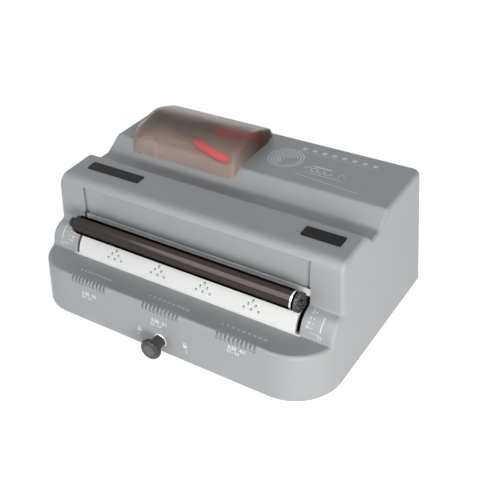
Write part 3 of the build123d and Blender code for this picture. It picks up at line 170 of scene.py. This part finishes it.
# Brake lining: pressed friction stuff, brown and crumbly, bonded to the shoe that grips the drum.
# The cam that lifts the shoe belongs to the lock, below.
friction_stuff = finish(
    "friction lining", (0.10, 0.07, 0.05), (0.17, 0.13, 0.10), roughness=0.85,
    patch=300, grain=1500, relief=0.8,
)
dress(friction_stuff, "brake_lining")


# Transformer and control board: a varnished core of sheets round a copper coil, and a green board with black
# parts. The core is strapped down and the board stands on posts at the back, under the high tier.
core_varnish = finish(
    "core varnish", (0.06, 0.055, 0.05), (0.10, 0.09, 0.085), roughness=0.45, metallic=0.3,
)
copper_wire = finish(
    "copper wire", (0.45, 0.16, 0.06), (0.55, 0.22, 0.09), roughness=0.3, metallic=0.9,
    patch=200, grain=2000, relief=0.6,
)
board_green = finish("board green", (0.02, 0.12, 0.05), (0.03, 0.16, 0.07), roughness=0.35)
part_black = finish("part black", (0.02, 0.02, 0.022), (0.05, 0.05, 0.06), roughness=0.4)
dress(core_varnish, "transformer_core")
dress(copper_wire, "transformer_coil")
dress(board_green, "control_board")
dress(part_black, "board_parts")


# Rear fittings: power inlet, rocker switch in its bezel, and the pedal's jack, in smooth black moulded plastic.
# They snap or screw into the base plate's rear panel; the jack is held by a bright plated nut.
plate_black = finish(
    "plate black", (0.006, 0.006, 0.006), (0.011, 0.010, 0.011), roughness=0.30, patch=80, relief=0.08,
    others={"Specular IOR Level": 0.12},
)
chrome = finish(
    "chrome", (0.78, 0.78, 0.79), (0.84, 0.84, 0.84), roughness=0.08, metallic=1.0,
    patch=40, grain=800, relief=0.02, spread=0.03,
)
dress(plate_black, "power_inlet", "switch_bezel", "switch_rocker", "pedal_jack")
dress(chrome, "jack_nut")


# Roller arms: two steel plates, blackened, clamped on the cross tube and reaching out through the slots.
# The roller's two end plugs are turned from the same steel and run in the arms.
blackened = finish(
    "blackened steel", (0.012, 0.012, 0.013), (0.030, 0.030, 0.033), roughness=0.32, metallic=0.6,
    patch=120, relief=0.15,
)
dress(blackened, "arm_left", "arm_right", "roller_plugs")


# Roller: a steel tube, ground and plated in black chrome, so it mirrors the room in soft brown bands.
# Beyond the place given along its length, its right end is coloured bright steel: a painted highlight for the
# bright rim at the tube's end.
END_HIGHLIGHT_FROM = 0.1585
END_PAINTED_HIGHLIGHT = (0.85, 0.82, 0.80)
MIRROR_TINT = (0.12, 0.11, 0.1, 1)


def along(tree, axis, space="Object"):
    """How far a point lies along one axis."""
    split = tree.nodes.new("ShaderNodeSeparateXYZ")
    tree.links.new(place_of(tree, space), split.inputs[0])
    return split.outputs[axis]


def reckon(tree, operation, first, second):
    """One step of arithmetic on a socket, with a second socket or a number."""
    step = tree.nodes.new("ShaderNodeMath")
    step.operation = operation
    tree.links.new(first, step.inputs[0])
    if isinstance(second, float):
        step.inputs[1].default_value = second
    else:
        tree.links.new(second, step.inputs[1])
    return step.outputs[0]


def overlay(material, share, colour):
    """Lays a second colour over a finish, by a share from nought to one."""
    tree = material.node_tree
    base = tree.nodes["Principled BSDF"].inputs["Base Color"]
    tree.links.new(mixed(tree, share, base.links[0].from_socket, colour), base)


roller_chrome = finish(
    "black chrome", (0.050, 0.043, 0.041), (0.060, 0.052, 0.049), roughness=0.12, metallic=1.0,
    patch=30, grain=1200, relief=0.03, spread=0.04, others={"Specular Tint": MIRROR_TINT},
)
roller_tree = roller_chrome.node_tree
# painted highlight: the tube's right end is given a bright steel colour
overlay(roller_chrome, reckon(roller_tree, "GREATER_THAN", along(roller_tree, "X"), END_HIGHLIGHT_FROM), END_PAINTED_HIGHLIGHT)
dress(roller_chrome, "roller_tube")


# Roller's end disc: die-cast and left rough, blackened, with bright worn specks.
# It is screwed on the journal outside the right arm.
end_disc_casting = finish(
    "speckled casting", (0.006, 0.006, 0.007), (0.42, 0.40, 0.39), roughness=0.45, metallic=0.5,
    patch=900, grain=1500, relief=0.5, specks=(0.50, 0.66),
)
dress(end_disc_casting, "roller_end_disc")


# Casing: one large moulding in silver-grey plastic, thin walled, with a fine even texture from its mould.
# It drops over the base plate and is screwed from below. Its colour wanders a little over the broad faces,
# and painted shade darkens the grooves and inner corners, within a short reach.
CORNER_REACH, CORNER_SAMPLES = 0.0035, 8
CORNER_CLOSED, CORNER_OPEN = 0.35, 0.95
CORNER_PAINTED_SHADE = (0.10, 0.105, 0.115)
casing_plastic = finish("casing plastic", (0.375, 0.397, 0.412), (0.41, 0.42, 0.43), roughness=0.42)
casing_tree = casing_plastic.node_tree
open_air = casing_tree.nodes.new("ShaderNodeAmbientOcclusion")
open_air.samples = CORNER_SAMPLES
open_air.only_local = True
open_air.inputs["Distance"].default_value = CORNER_REACH
# painted shade: a dark colour laid where the occlusion finds grooves and inner corners
painted_shade_share = ramp(casing_tree, open_air.outputs["AO"], CORNER_CLOSED, CORNER_OPEN, low=1, high=0)
overlay(casing_plastic, painted_shade_share, CORNER_PAINTED_SHADE)
dress(casing_plastic, "casing")


# Backing plate: thin steel sheet, bent over the fender and enamelled white, that the coil rolls against.
# It is stuck down, and its four groups of pinholes show where a coil starts.
white_enamel = finish(
    "white enamel", (0.80, 0.81, 0.80), (0.84, 0.85, 0.84), roughness=0.32, patch=12, grain=600, relief=0.05,
)
dress(white_enamel, "backing_plate")


# Plate's ear: a narrow strip of the same enamelled sheet that closes the top of the right slot, over the arm.
# It follows the bend of the sheet beside it, so each row of corners is taken from that sheet's face.
EAR_FROM, EAR_TO = 0.1611, 0.1664
EAR_FOOT, EAR_HEAD, EAR_STEPS = 0.1045, 0.1136, 10
EAR_THICKNESS = 0.0012
BESIDE_EAR = EAR_FROM - 0.003
AHEAD = -0.12


def surface_of(name):
    """A solid's surface, to find places on."""
    return BVHTree.FromObject(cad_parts[name], bpy.context.evaluated_depsgraph_get())


def add_trim(name, mesh, material):
    """Adds a thin piece that is fixed to the casing."""
    mesh.materials.append(material)
    piece = bpy.data.objects.new(name, mesh)
    bpy.context.scene.collection.objects.link(piece)
    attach(piece, "frame_body")


sheet_surface = surface_of("backing_plate")
ear = bmesh.new()
ear_rows = []
for step in range(EAR_STEPS + 1):
    height = EAR_FOOT + (EAR_HEAD - EAR_FOOT) * step / EAR_STEPS
    face, _, _, _ = sheet_surface.ray_cast(Vector((BESIDE_EAR, AHEAD, height)), Vector((0, 1, 0)))
    ear_rows.append([
        ear.verts.new((across, face.y + deep, height))
        for across in (EAR_FROM, EAR_TO) for deep in (0, EAR_THICKNESS)
    ])
for lower, upper in zip(ear_rows, ear_rows[1:]):
    for a, b in ((0, 2), (2, 3), (3, 1), (1, 0)):
        ear.faces.new((lower[a], lower[b], upper[b], upper[a]))
for end in (ear_rows[0], ear_rows[-1]):
    ear.faces.new((end[0], end[2], end[3], end[1]))
bmesh.ops.recalc_face_normals(ear, faces=ear.faces)
ear_mesh = bpy.data.meshes.new("plate_ear")
ear.to_mesh(ear_mesh)
ear.free()
add_trim("plate_ear", ear_mesh, white_enamel)


# Gauge holes: the white sheet is pierced over the fender behind it; a disc of painted shade on the casing
# behind each hole stands in for the dark inside. Four groups of six in three rows, each hole with a ring of
# painted shade round its edge on the sheet. Sizes from here on are in millimetres, and places are given from
# the casing's front edge and lower edge.
MM = 0.001
FRONT_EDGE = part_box("casing")[0].y / MM
CASING_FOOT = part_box("casing")[0].z / MM
HOLE_GROUPS, HOLE_ROWS, HOLE_SPACING = (-102, -34, 34, 102), (81, 77.3, 72.2), 10
HOLE_SHADE_RADIUS = 1.3
RIM_SHADE_RADIUS, RIM_SHADE_WIDTH = 1.3, 0.4
HOLE_SIDES = 12
FENDER_BACK = 45


def at(x, y, z):
    """A point given from the casing's front edge and lower edge."""
    return (x, FRONT_EDGE + y, CASING_FOOT + z)


class Print:
    """Flat marks drawn in millimetres on a small sheet, then laid on a surface as a thin film."""

    stroke_width = 0.8
    stride = 2  # a long stroke is cut to this length, so that it can follow a bend
    digit_scale = 1.38  # a letter's size for digits of a given height
    boldness = 0.05
    drop = 25  # how far above the sheet the marks start to fall
    film_thickness = 0.06

    def __init__(self):
        self.points = []
        self.faces = []

    def patch(self, corners):
        start = len(self.points)
        self.points += corners
        self.faces.append(tuple(range(start, start + len(corners))))

    def stroke(self, x0, y0, x1, y1, width=stroke_width):
        run = Vector((x1 - x0, y1 - y0))
        steps = max(1, round(run.length / self.stride))
        off = Vector((-run.y, run.x)).normalized() * width / 2
        for step in range(steps):
            a = Vector((x0, y0)) + run * step / steps
            b = Vector((x0, y0)) + run * (step + 1) / steps
            self.patch([tuple(a - off), tuple(b - off), tuple(b + off), tuple(a + off)])

    def ring(self, x, y, radius, width=stroke_width, start=0, end=360, sides=40):
        turns = [math.radians(start + (end - start) * i / sides) for i in range(sides + 1)]
        inner, outer = radius - width / 2, radius + width / 2
        for a, b in zip(turns, turns[1:]):
            self.patch([
                (x + reach * math.cos(turn), y + reach * math.sin(turn))
                for reach, turn in ((inner, a), (outer, a), (outer, b), (inner, b))
            ])

    def numbers(self, words, x, y, height):
        curve = bpy.data.curves.new("digits", "FONT")
        curve.body = words
        curve.size = height * self.digit_scale
        curve.offset = height * self.boldness
        curve.align_x = "CENTER"
        curve.resolution_u = 2
        written = bpy.data.objects.new("digits", curve)
        mesh = bpy.data.meshes.new_from_object(written)
        start = len(self.points)
        self.points += [(x + v.co.x, y + v.co.y) for v in mesh.vertices]
        self.faces += [tuple(start + i for i in face.vertices) for face in mesh.polygons]
        bpy.data.objects.remove(written)
        bpy.data.curves.remove(curve)
        bpy.data.meshes.remove(mesh)

    def lay(self, name, origin, across, up, film, surface):
        """Drops every point on the surface along the sheet's normal and lifts it by the film's thickness."""
        origin = Vector(origin) * MM
        across, up = Vector(across).normalized(), Vector(up).normalized()
        normal = across.cross(up)
        laid = []
        for x, y in self.points:
            above = origin + (across * x + up * y + normal * self.drop) * MM
            hit, facing, _, _ = surface.ray_cast(above, -normal)
            if hit:
                laid.append(hit + facing * self.film_thickness * MM)
            else:
                laid.append(origin + (across * x + up * y) * MM)
        mesh = bpy.data.meshes.new(name)
        mesh.from_pydata(laid, [], self.faces)
        add_trim(name, mesh, film)


casing_surface = surface_of("casing")
# painted shade: near-black film laid behind each pinhole and round its rim
hole_shade_film = finish("painted hole shade", (0.006, 0.006, 0.006), (0.012, 0.012, 0.012), roughness=0.8)
hole_shade_discs = Print()
rim_shade_rings = Print()
for group_x in HOLE_GROUPS:
    for row, height in enumerate(HOLE_ROWS):
        for number in range(row + 1):
            hole_x = group_x + HOLE_SPACING * (number - row / 2)
            hole_shade_discs.ring(hole_x, height, HOLE_SHADE_RADIUS / 2, HOLE_SHADE_RADIUS, sides=HOLE_SIDES)
            rim_shade_rings.ring(hole_x, height, RIM_SHADE_RADIUS, RIM_SHADE_WIDTH, sides=HOLE_SIDES)
hole_shade_discs.lay("gauge_hole_painted_shade", at(0, FENDER_BACK, 0), (1, 0, 0), (0, 0, 1), hole_shade_film, casing_surface)
rim_shade_rings.lay("gauge_hole_rim_shade", at(0, FENDER_BACK, 0), (1, 0, 0), (0, 0, 1), hole_shade_film, sheet_surface)


# Name plates: two bare black plates, die-cut from the rear fittings' kind of plastic.
# They are stuck to the middle tier and carry nothing here.
dress(plate_black, "name_plates")


# Lock: a fluted black plastic knob on a steel shaft, in a chromed bushing clamped through the front wall.
# A blackened cam at the shaft's far end lifts the brake's shoe. The knob's dished face is coloured lighter
# in the middle. The roller belt's two pulleys are moulded in the same plastic.
FACE_REACH, FACE_FULL = 0.0085, 0.75  # how far the lighter middle reaches, and the share of it that is at its lightest
FACE_LIGHTER = (0.125, 0.11, 0.10)
knob_plastic = finish(
    "knob plastic", (0.035, 0.032, 0.030), (0.065, 0.06, 0.055), roughness=0.33,
    patch=150, grain=1600, relief=0.15,
)
knob_low, knob_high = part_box("lock_knob")
knob_tree = knob_plastic.node_tree
from_face = knob_tree.nodes.new("ShaderNodeVectorMath")
from_face.operation = "DISTANCE"
knob_middle = (knob_low + knob_high) / 2
from_face.inputs[1].default_value = (knob_middle.x, knob_low.y, knob_middle.z)
knob_tree.links.new(place_of(knob_tree), from_face.inputs[0])
lighter_middle = ramp(knob_tree, from_face.outputs["Value"], FACE_REACH * FACE_FULL, FACE_REACH, low=1, high=0)
overlay(knob_plastic, lighter_middle, FACE_LIGHTER)
dress(knob_plastic, "lock_knob", "roller_pulley", "arm_drive_pulley")
dress(blackened, "lock_cam")
dress(chrome, "lock_bushing")


# Tray and pliers: a grey moulded liner that hangs in the casing's top, and crimping pliers laid in it.
# The levers are forged tool steel, ground bright and riveted; the handles are dipped in red plastic.
tray_plastic = finish("tray plastic", (0.34, 0.33, 0.325), (0.38, 0.37, 0.365), roughness=0.5)
tool_steel = finish(
    "tool steel", (0.33, 0.33, 0.34), (0.45, 0.45, 0.45), roughness=0.3, metallic=1.0, patch=150, relief=0.15,
)
red_dip = finish(
    "red dip", (0.92, 0.02, 0.045), (0.96, 0.03, 0.06), roughness=0.35, patch=60, grain=500, relief=0.1,
)
dress(tray_plastic, "storage_tray")
dress(tool_steel, "pliers_lever_fixed", "pliers_lever_moving")
dress(red_dip, "pliers_grip_fixed", "pliers_grip_moving")


# Lid: a thin clear moulding tinted smoke brown and hazed by wear; painted shade darkens it towards its back.
# It swings on a pin in a blackened bracket at the back of the tray, and shows the red handles as a blur.
LID_SHADE_FROM, LID_SHADE_FULL = 0.050, 0.105
LID_PAINTED_SHADE = (0.23, 0.19, 0.165)
lid_plastic = finish(
    "smoked lid", (0.70, 0.615, 0.57), (0.66, 0.575, 0.53), roughness=0.28,
    patch=18, grain=500, relief=0.01, spread=0.02, others={"Transmission Weight": 0.94, "IOR": 1.2},
)
lid_tree = lid_plastic.node_tree
# painted shade: the lid's colour darkens towards its back
overlay(lid_plastic, ramp(lid_tree, along(lid_tree, "Y"), LID_SHADE_FROM, LID_SHADE_FULL), LID_PAINTED_SHADE)
dress(lid_plastic, "lid")
dress(blackened, "lid_hinge_bracket")


# Coil sizes and pitches: pale grey screen print on the casing, plain numbers only.
# A row of nine sizes stands on the shelf behind each group of grooves, and the pitch with its range on the
# front wall below it. Each group gives its row's middle and step, and the place of its words.
SHELF_TOP, SIZE_ROW = 61.5, 21
SIZE_COUNT, SMALLEST, SIZE_STEP, SIZE_DIGITS = 9, 6, 2, 3.4
PITCH_RISE, PITCH_DIGITS = 0.4, 5.0
RANGE_LEFT, RANGE_FALL, RANGE_DIGITS = 5, 4.8, 3.6
GROOVE_GROUPS = (
    ("left", -110.6, 5.8, (-110, 39), "6.35  4:1"),
    ("middle", 2.8, 7.0, (0, 40), "5.00  5:1"),
    ("right", 109, 7.25, (110, 45.5), "6.35  4:1"),
)
ink = finish(
    "pale ink", (0.78, 0.80, 0.80), (0.85, 0.86, 0.86), roughness=0.6, patch=300, grain=2000, relief=0.2,
)
for group, middle, step, (words_x, words_z), pitch_words in GROOVE_GROUPS:
    sizes = Print()
    for number in range(SIZE_COUNT):
        words = str(SMALLEST + SIZE_STEP * number)
        sizes.numbers(words, (number - SIZE_COUNT // 2) * step, -SIZE_DIGITS / 2, SIZE_DIGITS)
    shelf_place = at(middle, SIZE_ROW, SHELF_TOP)
    sizes.lay(f"print_sizes_{group}", shelf_place, (1, 0, 0), (0, 1, 0), ink, casing_surface)
    pitch = Print()
    pitch.numbers(pitch_words, 0, PITCH_RISE, PITCH_DIGITS)
    pitch.numbers("0.5 - 2.5", -RANGE_LEFT, -RANGE_FALL, RANGE_DIGITS)
    pitch.lay(f"print_pitch_{group}", at(words_x, 0, words_z), (1, 0, 0), (0, 0, 1), ink, casing_surface)


# Lock signs: a closed and an open padlock in the same ink, on either side of the knob.
# Each has a block for its body, half a ring for its shackle and a short stroke that leans outwards below it.
BODY_HALF, BODY_TALL = 2.8, 3.8
SHACKLE, SHACKLE_WIDTH, SHACKLE_SIDES = 2.2, 1, 16
LEADER_FROM, LEADER_TO, LEADER_WIDTH = (1, -4), (3, -9), 1.1
LOCK_SIGNS = (("closed", -31, 20, 0), ("open", 37, 22, 30))  # state, place across, place up, shackle's swing
for state, x, z, swing in LOCK_SIGNS:
    outward = math.copysign(1, x)
    sign = Print()
    sign.stroke(-BODY_HALF, 0, BODY_HALF, 0, BODY_TALL)
    sign.ring(0, SHACKLE, SHACKLE, SHACKLE_WIDTH, swing, 180 + swing, SHACKLE_SIDES)
    sign.stroke(
        outward * LEADER_FROM[0], LEADER_FROM[1], outward * LEADER_TO[0], LEADER_TO[1], LEADER_WIDTH,
    )
    sign.lay(f"print_lock_{state}", at(x, 0, z), (1, 0, 0), (0, 0, 1), ink, casing_surface)


# Cheek scales: a small scale in the same ink on either cheek beside the roller, four numbers with ticks.
# A long index stroke stands outside them, with a foot line and a small ring below.
SCALE_MARKS, SCALE_TOP, SCALE_STEP, SCALE_DIGITS = ("10", "14", "18", "22"), 86.2, 4.2, 2.8
TICK_RISE, TICK_FROM, TICK_TO, TICK_WIDTH = 1.3, 4, 6.5, 0.6
INDEX_TOP, INDEX_FOOT, INDEX_WIDTH = 86.5, 73, 1.3
FOOT_LINE, FOOT_WIDTH = 69.5, 0.5
RING_HEIGHT, RING_RADIUS, RING_WIDTH, RING_SIDES = 66.6, 1.9, 0.7, 20
CHEEKS = (("left", -1, -176, -193), ("right", 1, 174.5, 191))  # side, hand, numbers' place, index's place
for side, hand, scale_x, index_x in CHEEKS:
    scale = Print()
    for row, mark in enumerate(SCALE_MARKS):
        foot = SCALE_TOP - SCALE_STEP * row
        tick = foot + TICK_RISE
        scale.numbers(mark, scale_x, foot, SCALE_DIGITS)
        scale.stroke(scale_x + TICK_FROM * hand, tick, scale_x + TICK_TO * hand, tick, TICK_WIDTH)
    scale.stroke(index_x, INDEX_TOP, index_x, INDEX_FOOT, INDEX_WIDTH)
    scale.stroke(scale_x + TICK_FROM * hand, FOOT_LINE, index_x, FOOT_LINE, FOOT_WIDTH)
    scale.ring(index_x, RING_HEIGHT, RING_RADIUS, RING_WIDTH, sides=RING_SIDES)
    scale.lay(f"print_scale_{side}", at(0, FENDER_BACK, 0), (1, 0, 0), (0, 0, 1), ink, casing_surface)


# Coil sign: how a coil is laid out, in the same ink on the top deck, right of the lid.
# Rings and spokes stand for the coil's end, a row of loops for its run and eight blocks for a sheet's holes,
# with plain lines between them.
COIL_X, COIL_Y, DECK_HEIGHT = 38, 243, 166
COIL_RINGS, COIL_WHOLE, COIL_OPEN, RING_STROKE = (23.5, 19.5, 15.5, 11.5, 7.5, 3.5), 16, (25, 250), 1.5
SPOKES, FIRST_SPOKE, SPOKE_TURN, SPOKE_FROM, SPOKE_TO, SPOKE_WIDTH = 6, 200, 12, 8, 22, 1.2
HOLES, FIRST_HOLE, HOLE_PITCH, HOLE_LINE, HOLE_LONG, HOLE_WIDE = 8, 46, 14.4, 275, 6.5, 6
LOOPS, FIRST_LOOP, LOOP_PITCH, LOOP_LINE, LOOP_RADIUS, LOOP_SIDES = 6, 76, 9.5, 232, 4.4, 18
LINES = (  # from, to and width
    (44, 268, 156, 268, 0.8),
    (80, 240.5, 106, 240.5, 3),
    (74, 223, 128, 223, 1.2),
    (66, 214.5, 158, 206.5, 1.1),
)
coil_sign = Print()
for radius in COIL_RINGS:
    start, end = (0, 360) if radius > COIL_WHOLE else COIL_OPEN
    coil_sign.ring(COIL_X, COIL_Y, radius, RING_STROKE, start, end)
for spoke in range(SPOKES):
    turn = math.radians(FIRST_SPOKE + SPOKE_TURN * spoke)
    across, up = math.cos(turn), math.sin(turn)
    inner = (COIL_X + SPOKE_FROM * across, COIL_Y + SPOKE_FROM * up)
    outer = (COIL_X + SPOKE_TO * across, COIL_Y + SPOKE_TO * up)
    coil_sign.stroke(*inner, *outer, SPOKE_WIDTH)
for hole in range(HOLES):
    hole_x = FIRST_HOLE + HOLE_PITCH * hole
    coil_sign.stroke(hole_x, HOLE_LINE, hole_x + HOLE_LONG, HOLE_LINE, HOLE_WIDE)
for loop in range(LOOPS):
    start, end = 200 - 360 * (loop % 2), 20 + 200 * (loop % 3)  # some loops are whole, some gape
    loop_x = FIRST_LOOP + LOOP_PITCH * loop
    coil_sign.ring(loop_x, LOOP_LINE, LOOP_RADIUS, RING_STROKE, start, end, LOOP_SIDES)
for line in LINES:
    coil_sign.stroke(*line)
coil_sign.lay("print_coil_sign", at(0, 0, DECK_HEIGHT), (1, 0, 0), (0, 1, 0), ink, casing_surface)


# Studio floor and sky: a pale floor that runs up to a pale sky, with the machine's shadow on it.
# Both show white to the camera and in metal and glass, and light the machine less: the sky falls off
# from the horizon up.
FLOOR_HALF = 9
FLOOR_PAINT = (0.55, 0.55, 0.55, 1)
FLOOR_ROUGHNESS, FLOOR_GLOW = 0.9, 0.86
SKY_BLUE, SKY_WHITE = (0.90, 0.95, 1.0), (1.0, 1.0, 1.0)
SKY_HORIZON, SKY_ZENITH = 0.50, 0.17


def seen_directly(tree):
    """One for a ray from the camera or off metal and glass, nought for a ray that only lights."""
    ray = tree.nodes.new("ShaderNodeLightPath")
    seen = ray.outputs["Is Camera Ray"]
    for kind in ("Is Glossy Ray", "Is Transmission Ray"):
        seen = reckon(tree, "MAXIMUM", seen, ray.outputs[kind])
    return seen


floor_mesh = bpy.data.meshes.new("floor")
floor_corners = [(-FLOOR_HALF, -FLOOR_HALF, 0), (FLOOR_HALF, -FLOOR_HALF, 0)]
floor_corners += [(FLOOR_HALF, FLOOR_HALF, 0), (-FLOOR_HALF, FLOOR_HALF, 0)]
floor_mesh.from_pydata(floor_corners, [], [(0, 1, 2, 3)])
floor = bpy.data.objects.new("floor", floor_mesh)
bpy.context.scene.collection.objects.link(floor)
floor_paint = bpy.data.materials.new("floor paint")
floor_paint.use_nodes = True
floor_tree = floor_paint.node_tree
floor_shader = floor_tree.nodes["Principled BSDF"]
floor_shader.inputs["Base Color"].default_value = FLOOR_PAINT
floor_shader.inputs["Roughness"].default_value = FLOOR_ROUGHNESS
floor_shader.inputs["Specular IOR Level"].default_value = 0.0  # no shine
floor_glow = floor_tree.nodes.new("ShaderNodeEmission")
floor_both = floor_tree.nodes.new("ShaderNodeAddShader")
floor_level = reckon(floor_tree, "MULTIPLY", seen_directly(floor_tree), FLOOR_GLOW)
floor_tree.links.new(floor_level, floor_glow.inputs["Strength"])
floor_tree.links.new(floor_shader.outputs["BSDF"], floor_both.inputs[0])
floor_tree.links.new(floor_glow.outputs["Emission"], floor_both.inputs[1])
floor_tree.links.new(floor_both.outputs["Shader"], floor_tree.nodes["Material Output"].inputs["Surface"])
floor_mesh.materials.append(floor_paint)

world = bpy.data.worlds.new("studio")
bpy.context.scene.world = world
world.use_nodes = True
sky_tree = world.node_tree
sky = sky_tree.nodes["Background"]
sky_seen = seen_directly(sky_tree)
sky_light = ramp(sky_tree, along(sky_tree, "Z", "Generated"), 0, 1, SKY_HORIZON, SKY_ZENITH)
sky_tree.links.new(mixed(sky_tree, sky_seen, SKY_BLUE, SKY_WHITE), sky.inputs["Color"])
sky_tree.links.new(reckon(sky_tree, "MAXIMUM", sky_light, sky_seen), sky.inputs["Strength"])


# Lamps: a broad soft box at the right front, a weak one at the left front and one behind.
# The roller mirrors only a wide ceiling box, and that box lights nothing.
LAMP_AIM = Vector((0, 0, 0.08))
WARM, COOL = (1.0, 0.965, 0.93), (0.94, 0.98, 1.0)
WHITE, CEILING_WARM = (1.0, 1.0, 1.0), (1.0, 0.97, 0.95)


def lamp(name, place, power, width, height, colour, only_gloss=False):
    """A soft box that faces the machine's middle, and either lights it or is mirrored in it."""
    light = bpy.data.lights.new(name, "AREA")
    light.shape = "RECTANGLE"
    light.energy = power
    light.size = width
    light.size_y = height
    light.color = colour
    box = bpy.data.objects.new(name, light)
    bpy.context.scene.collection.objects.link(box)
    box.location = place
    box.visible_glossy = only_gloss
    box.visible_diffuse = not only_gloss
    box.rotation_mode = "QUATERNION"
    box.rotation_quaternion = (LAMP_AIM - Vector(place)).to_track_quat("-Z", "Y")


lamp("key", (1.60, -1.30, 0.42), power=37, width=1.2, height=0.8, colour=WARM)
lamp("fill", (-0.9, -2.1, 0.65), power=10.5, width=1.6, height=1.0, colour=COOL)
lamp("back", (-1.7, 1.9, 0.35), power=11, width=1.6, height=0.6, colour=WHITE)
lamp("ceiling", (0.3, -1.9, 2.4), power=118, width=5.0, height=3.0, colour=CEILING_WARM, only_gloss=True)


# Camera: the place, turns and lens that give the photograph's view, for a 36 mm wide square picture.
# It stands to the right front, a little over a metre from the machine's middle, and looks down on it.
CAMERA_PLACE = (0.4902, -0.7017, 0.6517)
CAMERA_TURN = math.radians(32.549)
CAMERA_FALL = math.radians(34.378)
CAMERA_ROLL = math.radians(1.525)
LENS, PICTURE_WIDTH = 57.115, 36
camera_data = bpy.data.cameras.new("camera")
camera_data.lens = LENS
camera_data.sensor_width = PICTURE_WIDTH
camera = bpy.data.objects.new("camera", camera_data)
bpy.context.scene.collection.objects.link(camera)
looking = Vector((
    -math.sin(CAMERA_TURN) * math.cos(CAMERA_FALL),
    math.cos(CAMERA_TURN) * math.cos(CAMERA_FALL),
    -math.sin(CAMERA_FALL),
))
level_view = looking.to_track_quat("-Z", "Y").to_matrix()
camera.location = CAMERA_PLACE
camera.rotation_mode = "QUATERNION"
camera.rotation_quaternion = (Matrix.Rotation(CAMERA_ROLL, 3, looking) @ level_view).to_quaternion()
bpy.context.scene.camera = camera
bpy.context.scene.view_settings.view_transform = "Standard"
